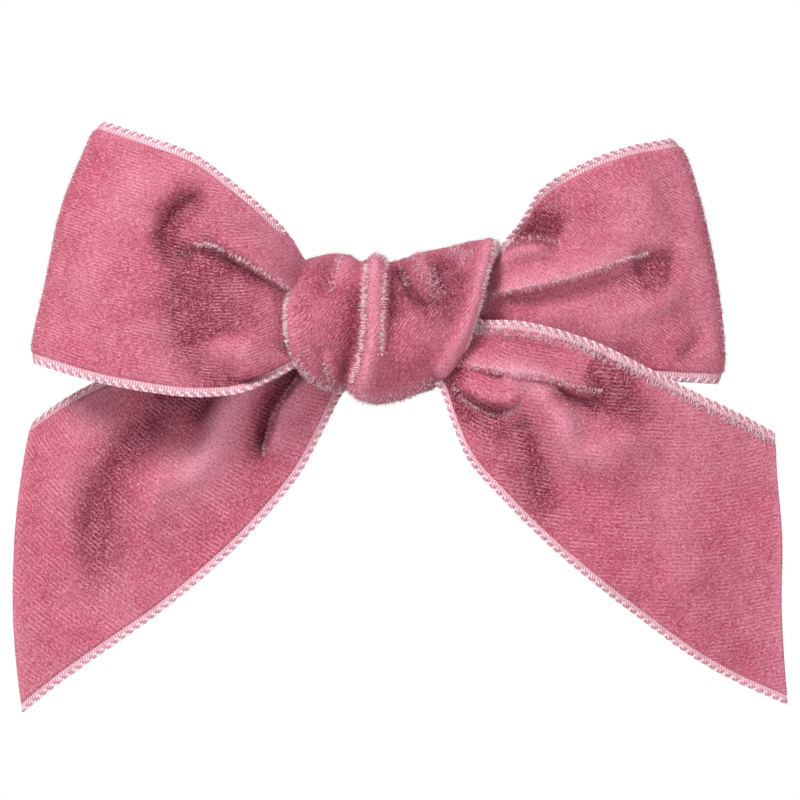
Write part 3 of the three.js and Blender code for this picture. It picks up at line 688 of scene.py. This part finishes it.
class Knot:
    """The wrapped middle: u across it (left rim to right rim), a the angle round it (0 front, up first).

    TOP and BOTTOM are its outline in shares of its box. The rims are pairs of an angle and a share
    across. ROLL is the section of the wrap: share across, step sideways, and depth below the top.
    """

    TOP = [(-0.02, 0.86), (0.07, 0.905), (0.19, 0.925), (0.28, 0.925), (0.327, 0.875), (0.405, 0.92),
           (0.47, 0.875), (0.59, 0.92), (0.67, 0.955), (0.88, 1.005), (0.97, 1.03), (1.04, 1.0)]
    BOTTOM = [(-0.03, 0.235), (0.085, 0.14), (0.185, 0.09), (0.27, 0.085), (0.325, 0.03), (0.405, -0.012),
              (0.535, 0.025), (0.65, 0.08), (0.78, 0.19), (0.9, 0.33), (1.0, 0.45), (1.04, 0.5)]
    LEFT_RIM = [(-180, 0.1), (-125, 0.09), (-90, 0.075), (-45, -0.02), (0, -0.045), (45, -0.005),
                (90, 0.055), (125, 0.09), (180, 0.1)]
    RIGHT_RIM = [(-180, 0.86), (-125, 0.81), (-90, 0.8), (-45, 0.85), (0, 0.93), (45, 0.985), (90, 1.005),
                 (125, 0.95), (180, 0.86)]
    ROLL = [(0, 3.2, 3.4), (0, 1.0, 2.7), (0, 0.0, 1.35), (0, 0.55, 0.35), (0, 2.0, 0.0), (0.25, 0, 0),
            (0.5, 0, 0), (0.75, 0, 0), (1, -2.0, 0.0), (1, -0.55, 0.35), (1, 0.0, 1.35), (1, -1.0, 2.7),
            (1, -3.2, 3.4)]
    FOLDS = [
        Fold([(0.256, 0.98), (0.235, 0.876), (0.21, 0.774), (0.186, 0.66)], 1.2, 3.4, 0.4, (0, 0.4), 0.7,
             (1.5, 0.3), 0.1),
        Fold([(0.18, 0.95), (0.15, 0.8), (0.13, 0.6)], -0.5, 2.2, 2.2, (0, 0.3), -0.5),
        Fold([(0.325, 0.78), (0.336, 0.69), (0.334, 0.55), (0.325, 0.393), (0.3, 0.253), (0.252, 0.12)],
             -2.2, 0.6, 2.8, (0.3, 0), -0.5, (0.4, 2.4)),
        Fold([(0.29, 0.9), (0.315, 0.82), (0.33, 0.72)], 0.0, 1, 1, (0.1, 0.3), 0.6, (2.4, 2.0)),
        Fold([(0.415, 1.0), (0.403, 0.838), (0.396, 0.647), (0.396, 0.456), (0.376, 0.3), (0.34, 0.15),
             (0.31, 0.03)], 2.1, 2.0, 1.3, (0, 0), 1.0, (1.9, 1.3)),
        Fold([(0.5, 0.95), (0.484, 0.806), (0.474, 0.647), (0.468, 0.444), (0.47, 0.3)], -1.3, 2.6, 0.5,
             (0.05, 0.45), -1.2, (2.6, 0.3)),
        Fold([(0.508, 0.95), (0.537, 0.838), (0.571, 0.749), (0.62, 0.647), (0.69, 0.55)], -2.5, 0.5, 1.3,
             (0.1, 0.3), -2.1, (0.45, 1.1)),
        Fold([(0.575, 1.0), (0.63, 0.825), (0.7, 0.69), (0.77, 0.54)], 1.8, 1.6, 1.2, (0, 0.35), 0.65,
             (1.6, 1.0)),
        Fold([(0.48, 0.98), (0.51, 0.82), (0.55, 0.68)], 0.8, 0.8, 0.9, (0, 0.3), 0.5, (0.7, 0.8)),
        Fold([(0.776, 1.0), (0.747, 0.838), (0.708, 0.647), (0.72, 0.4)], -1.7, 2.2, 2.2, (0, 0.4), -1.35),
        Fold([(0.82, 0.85), (0.8, 0.6), (0.73, 0.38)], -0.6, 1.6, 1.8, (0.1, 0.3), -0.5),
        Fold([(0.975, 1.03), (0.925, 0.774), (0.865, 0.52), (0.79, 0.329), (0.7, 0.15)], 1.8, 1.3, 1.6,
             (0, 0.1), 0.9, (4.0, 1.5)),
        Fold([(0.142, 0.34), (0.181, 0.228), (0.201, 0.1)], 0.9, 1.4, 0.4, (0.3, 0), 0.6, (0.8, 0.3)),
        Fold([(0.1, 0.62), (0.14, 0.45), (0.18, 0.3)], 0.7, 3.0, 3.0, (0.3, 0.3), 0.05),
        Fold([(0.52, 0.6), (0.56, 0.4), (0.58, 0.2)], 0.7, 2.5, 2.5, (0.3, 0.3), 0.2),
        Fold([(0.3, 0.06), (0.45, 0.03), (0.62, 0.12), (0.75, 0.22)], 0.0, 1.4, 1.4, (0.2, 0.1), 0.5,
             (1.5, 1.5)),
        Fold([(0.76, 0.96), (0.82, 0.93), (0.86, 0.9)], 0.4, 1.2, 1.2, (0.2, 0.2), 0.7),
        Fold([(-0.02, 0.8), (0.0, 0.5), (0.05, 0.22), (0.2, 0.1)], 0.3, 1.2, 1.2, (0.1, 0.1), 0.5,
             (1.0, 1.0)),
    ]
    SHADE = -0.32  # painted shade: the knot's pressed pile is painted darker than the rest
    SQUARE = 0.86  # power that makes the section rounder (1) or squarer (below 1)
    PRESS, PRESS_PLACE, PRESS_WIDTH = 1.25, 11.8, 2.3  # where the sewing thread pulls the back in
    TURN_RADIUS = 9.5  # length of cloth for each radian round the knot
    PLEAT_HEIGHT = 0.35

    def __init__(self):
        self.low, self.high = box_mm("knot")
        self.wide = self.high[0] - self.low[0]
        self.place = shares_of("knot")
        self.across = Line([(share * self.wide, aside, depth) for share, aside, depth in self.ROLL], 900)
        self.relief = Relief(self.place, self.FOLDS)
        self.top, self.bottom = self.outline(self.TOP), self.outline(self.BOTTOM)
        self.left, self.right = self.rim(self.LEFT_RIM), self.rim(self.RIGHT_RIM)

    def outline(self, points):
        """A function from x to the height of the wrap's upper or lower outline."""
        x, z = np.transpose([self.place(p) for p in points])
        span = np.linspace(self.low[0] - 2, self.high[0] + 2, 400)
        heights = evened(np.interp(span, x, z), np.exp(-np.linspace(-2, 2, 25) ** 2), "edge")
        return lambda at: np.interp(at, span, heights)

    def rim(self, points):
        """A function from the angle round the knot to a rim's x."""
        degrees, shares = np.transpose(points)
        fine = np.linspace(-180, 180, 361)
        even = evened(np.interp(fine, degrees, shares)[:-1], np.hanning(41), "wrap")
        places = self.low[0] + np.append(even, even[0]) * self.wide
        return lambda a: np.interp((np.degrees(a) + 180) % 360 - 180, fine, places)

    def surface(self, u, a):
        """Points of the wrap, and the painted light and shade on its pile there."""
        u, a = np.broadcast_arrays(np.asarray(u, float), np.asarray(a, float))
        share, aside, depth = np.moveaxis(self.across.at(u), -1, 0)
        share = share / self.wide
        left, right = self.left(a), self.right(a)
        x = left + (right - left) * share + aside
        up, down = self.top(x), self.bottom(x)
        c, s = np.cos(a), np.sin(a)
        square = lambda q: np.sign(q) * np.abs(q) ** self.SQUARE
        middle, half = (self.low[1] + self.high[1]) / 2, (self.high[1] - self.low[1]) / 2
        deep, high = half * (1 - 0.1 * np.abs(2 * share - 1) ** 2.5), (up - down) / 2
        y = middle - deep * square(c)
        z = (up + down) / 2 + high * square(s)
        outward = unit(np.stack([0 * c, -c / deep, s / high], -1))
        lift, tint = self.relief.read(x, z)
        front = smooth(0.02, 0.7, c)
        press = self.PRESS * smooth(0.3, 0.75, -c)
        press = press * np.exp(-(((np.abs(x) - self.PRESS_PLACE) / self.PRESS_WIDTH) ** 4))
        pleats = self.PLEAT_HEIGHT * smooth(0.1, 0.6, -c) * np.sin(1.25 * x + 0.6 * np.sin(2 * a))
        raised = lift * front * (1 - 0.6 * np.clip(depth / 0.5, 0, 1))
        points = np.stack([x, y, z], -1) + outward * (raised + pleats - press - depth)[..., None]
        # Colour value: painted shade over the front (SHADE), the folds' painted light and shade, and a
        # painted highlight on the rolled rims.
        return points, (self.SHADE + tint) * front + 0.4 * smooth(0.0, 0.5, depth) * (depth < 1.6)

    def at(self, u, a):
        return self.surface(u, a)[0]

    def axes(self, u, a):
        """Position, outward normal, direction across the wrap and direction round it."""
        e = 0.002
        along = unit(self.at(np.minimum(u + e, 1), a) - self.at(np.maximum(u - e, 0), a))
        around = unit(self.at(u, a + e) - self.at(u, a - e))
        return self.at(u, a), unit(np.cross(along, around)), along, around


knot = Knot()


def knot_piece(name, columns=170, rows=230):
    a, u = np.meshgrid(
        np.linspace(-math.pi, math.pi, rows, endpoint=False), np.linspace(0, 1, columns), indexing="ij"
    )
    p, normal, _, _ = knot.axes(u, a)
    cloth = turned(a * knot.TURN_RADIUS, u * knot.across.length, math.radians(50))
    top = p + normal * PILE_LIFT * 0.6  # the pile is pressed down here
    return slab(name, top, p - normal * CLOTH, cloth, knot.surface(u, a)[1], wrap=True)


def knot_pile(name, seed, count=17000):
    rng = np.random.default_rng(seed)
    u, a = rng.uniform(0.02, 0.98, count), rng.uniform(-math.pi, math.pi, count)
    p, normal, along, around = knot.axes(u, a)
    lean = normal * 0.5 + along * rng.normal(0.3, 0.5, (count, 1))
    lean = lean + around * rng.normal(-0.6, 0.4, (count, 1))
    tones = pile_tones(rng, knot.surface(u, a)[1], 0.7)
    lengths = rng.uniform(*KNOT_LENGTHS, count) + ROOT_DEPTH
    return fibres(name, p + normal * KNOT_FOOT, lean, lengths, np.full(count, KNOT_WIDTH), tones)


def knot_rims(name, seed, count=800):
    """Hairs round both rolled rims, pointing away from the knot's middle."""
    rng = np.random.default_rng(seed)
    share, depth = knot.across.share, knot.across.points[:, 2]
    grown = []
    for rim, outside in ((-1, share < 0.5), (1, share >= 0.5)):
        at = share[outside & (depth > 0.2) & (depth < 0.75)]
        u, a = rng.uniform(at.min(), at.max(), count), rng.uniform(-2.6, 2.6, count)
        p, normal, along, around = knot.axes(u, a)
        away = 0.6 * normal + along * rng.normal(0.9 * rim, 0.2, (count, 1))
        way = away + around * rng.normal(-0.1, 0.25, (count, 1))
        grown.append((p + normal * RIM_FOOT, way, rng.uniform(*RIM_LENGTHS, count)))
    roots, ways, sizes = (np.concatenate(parts) for parts in zip(*grown))
    tones = tones_of(rng, 1.7, 0.6, len(roots))
    widths = rng.uniform(*RIM_WIDTHS, len(roots))
    return fibres(name, roots, ways, sizes, widths, tones, rng.normal(0, 0.18, ways.shape))


# ---------------------------------------------------------------- materials


class Tree:
    """A node tree being built, with short ways to add nodes and to join them."""

    def __init__(self, tree):
        self.tree = tree

    def feed(self, socket, value):
        """Joins a socket to another node's output, or sets its value."""
        if isinstance(value, bpy.types.NodeSocket):
            self.tree.links.new(value, socket)
        else:
            socket.default_value = (*value, 1) if socket.type == "RGBA" else value

    def node(self, kind, **settings):
        """A new node. A setting with the name of an input feeds it, and any other is a property."""
        node = self.tree.nodes.new("ShaderNode" + kind)
        for key, value in settings.items():
            socket = key.replace("_", " ")
            if socket in node.inputs:
                self.feed(node.inputs[socket], value)
            else:
                setattr(node, key, value)
        return node

    def by_ray(self, lit, seen):
        """A shader that is seen in front of the camera and lit for all other rays."""
        ray, either = self.node("LightPath"), self.node("MixShader")
        for socket, value in zip(either.inputs, (ray.outputs["Is Camera Ray"], lit, seen)):
            self.feed(socket, value)
        return either.outputs["Shader"]


class Look(Tree):
    """A material being built round its Principled shader."""

    def __init__(self, name):
        self.material = bpy.data.materials.new(name)
        self.material.use_nodes = True
        super().__init__(self.material.node_tree)
        self.shader = self.tree.nodes["Principled BSDF"]
        self.place = self.node("TexCoord").outputs["Object"]

    def attribute(self, name, output="Vector"):
        return self.node("Attribute", attribute_name=name).outputs[output]

    def scaled(self, vector, *scale):
        return self.node("Mapping", Vector=vector, Scale=scale).outputs["Vector"]

    def noise(self, scale, detail, roughness=0.5, vector=None):
        vector = self.place if vector is None else vector
        node = self.node("TexNoise", Vector=vector, Scale=scale, Detail=detail, Roughness=roughness)
        return node.outputs["Fac"]

    def wave(self, direction, vector, **settings):
        return self.node("TexWave", bands_direction=direction, Vector=vector, **settings).outputs["Fac"]

    def maths(self, operation, *values, clamp=False):
        node = self.node("Math", operation=operation, use_clamp=clamp)
        for socket, value in zip(node.inputs, values):
            self.feed(socket, value)
        return node.outputs[0]

    def times(self, a, b, clamp=False):
        return self.maths("MULTIPLY", a, b, clamp=clamp)

    def mix(self, factor, a, b):
        """Colour a where factor is 0, and b where it is 1."""
        node = self.node("Mix", data_type="RGBA")
        for key, value in (("Factor", factor), (6, a), (7, b)):
            self.feed(node.inputs[key], value)
        return node.outputs[2]

    def ramp(self, value, low, high):
        """From 0 at low to 1 at high."""
        node = self.node("MapRange", Value=value, From_Min=low, From_Max=high)
        node.interpolation_type = "SMOOTHSTEP"
        return node.outputs["Result"]

    def bump(self, height, strength, distance):
        return self.node("Bump", Height=height, Strength=strength, Distance=distance).outputs["Normal"]

    def done(self, **values):
        """Sets the shader's inputs and returns the material."""
        for key, value in values.items():
            self.feed(self.shader.inputs[key.replace("_", " ")], value)
        return self.material


# PINK_LIGHT and PINK_DEEP mottle the pile and also carry its painted highlights and painted shade;
# SILVER_PINK colours the painted glints.
PINK = (0.46, 0.083, 0.136)
PINK_LIGHT = (0.74, 0.31, 0.41)
PINK_DEEP = (0.18, 0.014, 0.035)
PINK_DUSTY = (0.50, 0.13, 0.19)
SILVER_PINK = (0.90, 0.62, 0.70)
BORDER_DARK, BORDER_PALE = (0.52, 0.2, 0.26), (0.86, 0.6, 0.67)


def velvet():
    """Pink pile, blotched, with rows of the weave broken by noise, painted light and shade from the folds,
    and painted glints where a tuft lies flat.
    """
    look = Look("velvet_pile")
    cloth, tint = look.attribute("cloth"), look.attribute("tint", "Fac")
    grain = look.noise(3600, 2, 0.75)
    strokes = look.noise(1.0, 2, 0.6, look.scaled(cloth, 1.5, 4.6, 1))
    spaced = look.scaled(cloth, 0.5, 0.6, 1)
    rows = look.wave("Y", spaced, Scale=1.0, Distortion=2.2, Detail=3.0, Detail_Scale=2.2)
    patchy_rows = look.times(look.ramp(rows, 0.45, 1.0), look.ramp(look.noise(330, 2), 0.35, 0.7))
    # Painted glints: pale silvery specks where a flat tuft catches the light.
    cells = look.node("TexVoronoi", Vector=look.scaled(cloth, 1.5, 3.2, 1), Scale=1.0, Randomness=1.0)
    painted_glints = look.ramp(cells.outputs["Distance"], 0.26, 0.06)
    painted_glints = look.times(painted_glints, look.ramp(look.noise(900, 1), 0.52, 0.62))
    layers = [
        (look.ramp(look.noise(75, 3), 0.35, 0.68), 1.0, PINK_DUSTY),
        (look.ramp(look.noise(260, 3, 0.6), 0.62, 0.3), 0.22, PINK_DEEP),
        # Painted shade (below 0) and painted highlights (above 0) from the folds.
        (tint, -0.9, PINK_DEEP),
        (tint, 0.8, PINK_LIGHT),
        (patchy_rows, 0.5, PINK_LIGHT),
        (look.ramp(rows, 0.35, 0.0), 0.1, PINK_DEEP),
        (look.ramp(strokes, 0.52, 0.68), 0.6, PINK_LIGHT),
        (look.ramp(strokes, 0.46, 0.32), 0.5, PINK_DEEP),
        (look.ramp(grain, 0.5, 0.7), 0.5, PINK_LIGHT),
        (look.ramp(grain, 0.48, 0.3), 0.55, PINK_DEEP),
        (painted_glints, 0.6, SILVER_PINK),
    ]
    colour = PINK
    for mask, share, tone in layers:
        colour = look.mix(look.times(mask, share, clamp=True), colour, tone)
    height = look.maths("MULTIPLY_ADD", rows, 0.35, look.maths("MULTIPLY_ADD", grain, 0.8, painted_glints))
    return look.done(
        Base_Color=colour, Normal=look.bump(height, 0.5, 0.00012), Roughness=0.85, Specular_IOR_Level=0.2,
        Sheen_Weight=0.2, Sheen_Roughness=0.32, Sheen_Tint=(1.0, 0.5, 0.63),
    )


def backing():
    """The plain woven underside: fine crossing threads with a slight satin gloss."""
    look = Look("ribbon_backing")
    cloth = look.attribute("cloth")
    weave = look.times(*(look.wave(way, cloth, Scale=0.9, Distortion=0.5, Detail=1.0) for way in "XY"))
    colour = look.mix(weave, (0.44, 0.115, 0.165), (0.60, 0.24, 0.30))
    colour = look.mix(look.times(look.noise(160, 3), 0.5), colour, (0.40, 0.10, 0.145))
    return look.done(
        Base_Color=colour, Normal=look.bump(weave, 0.6, 0.00008), Roughness=0.5, Specular_IOR_Level=0.35,
        Anisotropic=0.4,
    )


def border():
    """The woven border: pale threads across it, darker between them."""
    look = Look("ribbon_border")
    spaced = look.scaled(look.attribute("cloth"), math.pi / 10 / RIB_PITCH, 0.05, 1)
    threads = look.wave("X", spaced, Scale=1.0, Distortion=0.35, Detail=1.0)
    worn = look.times(look.ramp(look.noise(700, 3), 0.4, 0.7), 0.35)
    colour = look.mix(worn, look.mix(threads, BORDER_DARK, BORDER_PALE), BORDER_DARK)
    return look.done(
        Base_Color=colour, Normal=look.bump(threads, 0.5, 0.00006), Roughness=0.45, Sheen_Weight=0.2
    )


def strand(name, colour, roughness=0.42, sheen=0.35):
    """Thread or hair: one colour, with roughness that varies along it."""
    look = Look(name)
    noise = look.noise(2200, 2)
    rough = look.node("MapRange", Value=noise, To_Min=roughness, To_Max=roughness + 0.3).outputs["Result"]
    return look.done(
        Base_Color=colour, Roughness=rough, Normal=look.bump(noise, 0.35, 0.00004), Sheen_Weight=sheen,
        Sheen_Roughness=0.35, Sheen_Tint=(1.0, 0.82, 0.88),
    )


def metal(name, colour, roughness, along):
    """Plated sheet steel with rolling marks along one axis and light handling wear."""
    look = Look(name)
    shaded = lambda *shares: tuple(c * share for c, share in zip(colour, shares))
    marks = look.noise(1.0, 4, 0.65, look.scaled(look.place, *along))
    worn = look.ramp(look.noise(180, 5, 0.6), 0.5, 0.75)
    plated = look.mix(marks, shaded(0.86, 0.86, 0.86), colour)
    rough = look.maths("MULTIPLY_ADD", worn, 0.14, look.maths("MULTIPLY_ADD", marks, 0.16, roughness))
    return look.done(
        Base_Color=look.mix(look.times(worn, 0.45), plated, shaded(0.72, 0.70, 0.66)), Roughness=rough,
        Normal=look.bump(marks, 0.25, 0.00003), Metallic=1.0,
    )


def adhesive():
    """Cream hot-melt glue, slightly cloudy and translucent."""
    look = Look("hot_melt")
    cloud = look.noise(320, 3)
    return look.done(
        Base_Color=look.mix(cloud, (0.78, 0.72, 0.6), (0.88, 0.84, 0.74)), Roughness=0.28,
        Normal=look.bump(cloud, 0.4, 0.0001), Subsurface_Weight=0.3, Subsurface_Scale=0.002,
    )


VELVET, BACKING, BORDER = velvet(), backing(), border()
ROPE = [
    strand("border_loop_pale", (0.88, 0.68, 0.76), 0.35, 0.3),
    strand("border_loop_pink", (0.56, 0.25, 0.33), 0.4, 0.3),
]
HAIR = [
    strand("hair_deep", (0.22, 0.02, 0.045), sheen=0.05),
    strand("hair_mid", (0.50, 0.10, 0.158), sheen=0.12),
    strand("hair_light", (0.88, 0.46, 0.57), sheen=0.2),
]
FRINGE = [
    strand("fringe_pink", (0.66, 0.24, 0.32)),
    strand("fringe_pale", (0.92, 0.55, 0.66), sheen=0.9),
    strand("fringe_white", (0.99, 0.82, 0.89), sheen=1.0),
]


# ---------------------------------------------------------------- building the ribbon


def finish_piece(obj, materials, *nodes, slot="velvet"):
    """Gives a piece its materials, hides the CAD nodes it stands for and attaches it to its body. slot is
    not used.
    """
    for material in materials:
        obj.data.materials.append(material)
    if nodes:
        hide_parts(*nodes)
    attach(obj, "clip_base")
    return obj


# Each row: line in shares of the node's box, hairs per mm, spread, lean to the left of the line,
# lengths, and tone from 0 (pink) to 2 (nearly white).
FRINGES = {
    "left_loop": [
        ([(0.94, 0.37), (0.86, 0.43), (0.75, 0.5), (0.69, 0.535), (0.63, 0.56), (0.585, 0.556)], 18, 0.16,
         0.5, (0.4, 0.85), 1.8),
        ([(0.585, 0.548), (0.55, 0.52), (0.5, 0.53)], 8, 0.35, 0.5, (0.4, 0.8), 0.7),
        ([(0.69, 0.035), (0.77, 0.045), (0.85, 0.075), (0.93, 0.115)], 6, 0.12, 0.6, (0.3, 0.6), 1.0),
    ],
    "right_loop": [
        ([(0.08, 0.35), (0.12, 0.362), (0.375, 0.42), (0.585, 0.49), (0.72, 0.54)], 18, 0.16, -0.5,
         (0.4, 0.8), 1.7),
        ([(0.08, 0.46), (0.168, 0.545), (0.266, 0.58), (0.385, 0.555)], 9, 0.3, 0.5, (0.4, 0.8), 0.9),
    ],
    "left_tail": [
        ([(0.86, 0.93), (0.81, 0.867), (0.778, 0.82), (0.758, 0.764), (0.735, 0.68)], 10, 0.13, -0.7,
         (0.4, 0.8), 1.1),
        ([(0.4, 0.88), (0.325, 0.83), (0.255, 0.747), (0.18, 0.636), (0.15, 0.516)], 8, 0.6, 0.5, (0.3, 0.6),
         0.8),
    ],
    "right_tail": [
        ([(0.06, 0.902), (0.21, 0.878), (0.344, 0.857), (0.408, 0.838), (0.48, 0.828)], 18, 0.16, -0.5,
         (0.4, 0.8), 1.7),
        ([(0.07, 0.84), (0.114, 0.797), (0.165, 0.768), (0.221, 0.768), (0.255, 0.8)], 13, 0.25, -0.8,
         (0.5, 1.0), 1.1),
        ([(0.333, 0.837), (0.38, 0.779), (0.415, 0.715)], 8, 0.25, 0.6, (0.4, 0.8), 0.8),
        ([(0.03, 1.0), (0.14, 0.985), (0.3, 0.965)], 9, 0.25, 0.3, (0.5, 0.9), 1.2),
    ],
}
HIDDEN_BORDER = 0.13  # share of a stretch whose upper border is folded out of sight
for number, stretch in enumerate([left_loop, right_loop, left_tail, right_tail]):
    name = stretch.node
    ribbon = finish_piece(ribbon_piece(stretch, f"{name}_ribbon"), [VELVET, BACKING], name)
    on_it = []
    for upper, word in enumerate(("lower", "upper")):
        from_s = HIDDEN_BORDER if upper and stretch.hidden_top else 0.0
        band = border_band(stretch, f"{name}_{word}_border", upper, from_s)
        rope = border_rope(stretch, f"{name}_{word}_loops", upper, from_s)
        on_it += [finish_piece(band, [BORDER, BACKING]), finish_piece(rope, ROPE)]
    on_it.append(finish_piece(spread_pile(stretch, f"{name}_pile", 40 + number), HAIR))
    find = finder(stretch, np.linspace(0.02, stretch.turn or 1.0, 260), np.linspace(0.02, 0.98, 200))
    on_it.append(finish_piece(fringe(stretch, find, FRINGES[name], f"{name}_fringe", 60 + number), FRINGE))
    if stretch is right_tail:
        on_it.append(finish_piece(upper_tufts(stretch, f"{name}_upper_tufts", 90), FRINGE))
    if stretch.turn:
        on_it.append(finish_piece(fold_hairs(stretch, f"{name}_fold_hairs", 70 + number), FRINGE))

KNOT_FRINGES = [
    ([(0.24, 0.92), (0.232, 0.876), (0.208, 0.774), (0.19, 0.69)], 22, 0.25, -0.5, (0.25, 0.6), 1.2),
    ([(0.375, 0.86), (0.365, 0.647), (0.362, 0.456), (0.345, 0.3), (0.305, 0.12)], 20, 0.2, -0.9, (0.5, 1.0),
     1.8),
    ([(0.452, 0.95), (0.44, 0.838), (0.433, 0.647), (0.427, 0.456), (0.42, 0.3)], 18, 0.2, 0.6, (0.4, 0.8),
     1.8),
    ([(0.405, 1.0), (0.41, 0.88)], 40, 0.7, 0.2, (0.25, 0.6), 1.4),
    ([(0.5, 0.95), (0.53, 0.84), (0.57, 0.74)], 26, 0.4, -0.3, (0.25, 0.55), 0.9),
    ([(0.59, 0.96), (0.65, 0.8), (0.72, 0.66)], 34, 0.6, 0.3, (0.25, 0.55), 1.1),
    ([(0.76, 0.97), (0.81, 0.95), (0.86, 0.9)], 40, 0.7, 0.2, (0.25, 0.6), 1.6),
    ([(0.165, 0.26), (0.195, 0.12)], 26, 0.3, -0.5, (0.3, 0.6), 1.4),
    ([(0.25, 0.12), (0.31, 0.04), (0.42, 0.01), (0.55, 0.05), (0.68, 0.13)], 26, 0.5, -0.6, (0.3, 0.7), 1.1),
    ([(0.02, 0.3), (0.08, 0.17), (0.18, 0.1), (0.24, 0.1)], 26, 0.4, -0.6, (0.35, 0.75), 1.6),
]
wrap = finish_piece(knot_piece("knot_wrap"), [VELVET, BACKING], "knot")
find = finder(knot, np.linspace(0.1, 0.9, 260), np.linspace(-1.45, 1.45, 240))
on_it = [
    finish_piece(knot_pile("knot_pile", 50), HAIR),
    finish_piece(knot_rims("knot_rims", 80), FRINGE),
    finish_piece(fringe(knot, find, KNOT_FRINGES, "knot_fringe", 81), FRINGE),
]


# ---------------------------------------------------------------- the clip and its fixings

NICKEL = metal("nickel_plate", (0.66, 0.655, 0.64), 0.24, (60, 5200, 5200))
SPRING = metal("spring_strip", (0.56, 0.565, 0.58), 0.28, (60, 5200, 5200))
PIN = metal("pin_plate", (0.68, 0.67, 0.65), 0.2, (5200, 5200, 90))
FINISHES = {
    "base_plate": NICKEL,
    "clamp_bar": NICKEL,
    "hinge_pin": PIN,
    "latch_rivet": PIN,
    "tension_bow": SPRING,
    "latch_yoke": SPRING,
    "latch_prong_upper": SPRING,
    "latch_prong_lower": SPRING,
    "glue_pad": adhesive(),
}
for name, material in FINISHES.items():
    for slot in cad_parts[name].material_slots:
        slot.material = material

THREAD = strand("sewing_thread", (0.47, 0.115, 0.175), 0.45, 0.4)
TURNS = 3
THREAD_RADIUS = 0.25
PLY_RADIUS, PLY_ASIDE, PLY_PITCH = 0.14, 0.11, 0.9


def winding(side, name):
    """Turns of two-ply thread round the plate, where the CAD winding runs."""
    low, high = box_mm(name)
    start, end = (low[0] + THREAD_RADIUS, high[0] - THREAD_RADIUS)[::side]
    t = np.linspace(0, 1, 420)
    angle = 2 * math.pi * TURNS * t
    x = start + (end - start) * t
    beyond = np.abs(x) - min(abs(start), abs(end))
    sag = 0.0033 * beyond ** 2 + 0.068 * beyond  # the plate arches back towards its ends
    front, rear = low[1] + THREAD_RADIUS, high[1] - THREAD_RADIUS - sag.max()
    y = (front + rear) / 2 - (rear - front) / 2 * np.cbrt(np.cos(angle)) + sag
    z = (high[2] - THREAD_RADIUS) * np.cbrt(np.sin(angle))
    core = np.stack([x, y, z], -1)
    run = run_along(core)
    even = np.linspace(0, run[-1], 900)
    core = np.stack([np.interp(even, run, column) for column in core.T], -1)
    tangent = unit(np.gradient(core, axis=0))
    a = unit(np.cross(tangent, [[1.0, 0, 0]]))
    b = np.cross(tangent, a)
    turns = [(2 * math.pi * even / PLY_PITCH + math.pi * ply)[:, None] for ply in (0, 1)]
    plies = [core + PLY_ASIDE * (np.cos(turn) * a + np.sin(turn) * b) for turn in turns]
    return strands(f"{name}_twist", plies, [PLY_RADIUS, PLY_RADIUS], 6, [0, 0])


for side, name in ((-1, "binding_thread_left"), (1, "binding_thread_right")):
    finish_piece(winding(side, name), [THREAD], name, slot="thread")


# ---------------------------------------------------------------- floor, light and camera

FLOOR_DEPTH = 0.026
FLOOR_HALF = 1.6
WHITE = (1, 1, 1)
floor_z = CAD_BOUNDS[0][2] - FLOOR_DEPTH
corners = [(FLOOR_HALF * a, FLOOR_HALF * b, floor_z) for a, b in ((-1, -1), (1, -1), (1, 1), (-1, 1))]
floor_mesh = bpy.data.meshes.new("floor")
floor_mesh.from_pydata(corners, [], [(0, 1, 2, 3)])
floor = bpy.data.objects.new("floor", floor_mesh)
bpy.context.scene.collection.objects.link(floor)
paper = Look("pale_floor")
plain = paper.node("Emission", Color=WHITE, Strength=1.0).outputs["Emission"]
floor_surface = paper.by_ray(paper.shader.outputs["BSDF"], plain)
paper.feed(paper.tree.nodes["Material Output"].inputs["Surface"], floor_surface)
floor_mesh.materials.append(paper.done(Base_Color=(0.8, 0.8, 0.8), Roughness=0.9))

world = bpy.data.worlds.new("studio")
bpy.context.scene.world = world
world.use_nodes = True
world.node_tree.nodes.clear()
studio = Tree(world.node_tree)
seen = studio.node("Background", Color=WHITE, Strength=1.0).outputs["Background"]
lit = studio.node("Background", Color=(1.0, 0.95, 0.955), Strength=0.29).outputs["Background"]
studio.node("OutputWorld", Surface=studio.by_ray(lit, seen))


def area_light(name, place, size, power, colour=WHITE):
    """A round light that shines at the middle of the bow."""
    aim = Vector((0.0, -0.02, -0.012))
    data = bpy.data.lights.new(name, "AREA")
    data.shape, data.size, data.energy, data.color = "DISK", size, power, colour
    lamp = bpy.data.objects.new(name, data)
    lamp.location = place
    lamp.rotation_euler = (aim - Vector(place)).to_track_quat("-Z", "Y").to_euler()
    bpy.context.scene.collection.objects.link(lamp)


area_light("key", (-0.38, -0.56, 0.5), 0.34, 6.7, (1.0, 0.985, 0.97))
area_light("fill", (0.5, -0.66, 0.1), 0.7, 2.4, (0.99, 0.99, 1.0))
area_light("back", (0.1, 0.7, 0.45), 0.6, 2.2)

LENS, SENSOR = 200.0, 36.0
VIEW_WIDTH = 0.1288  # what the camera sees across, at the depth of the bow
VIEW_MIDDLE = (0.00064, -0.020, -0.01256)
camera_data = bpy.data.cameras.new("camera")
camera_data.lens, camera_data.sensor_width = LENS, SENSOR
camera_data.clip_start, camera_data.clip_end = 0.01, 20
camera = bpy.data.objects.new("camera", camera_data)
camera.location = Vector(VIEW_MIDDLE) - Vector((0, VIEW_WIDTH * LENS / SENSOR, 0))
camera.rotation_euler = (math.radians(90), 0, 0)
bpy.context.scene.collection.objects.link(camera)
bpy.context.scene.camera = camera
bpy.context.scene.view_settings.view_transform = "Standard"
bpy.context.scene.view_settings.look = "None"

bpy.context.view_layer.update()
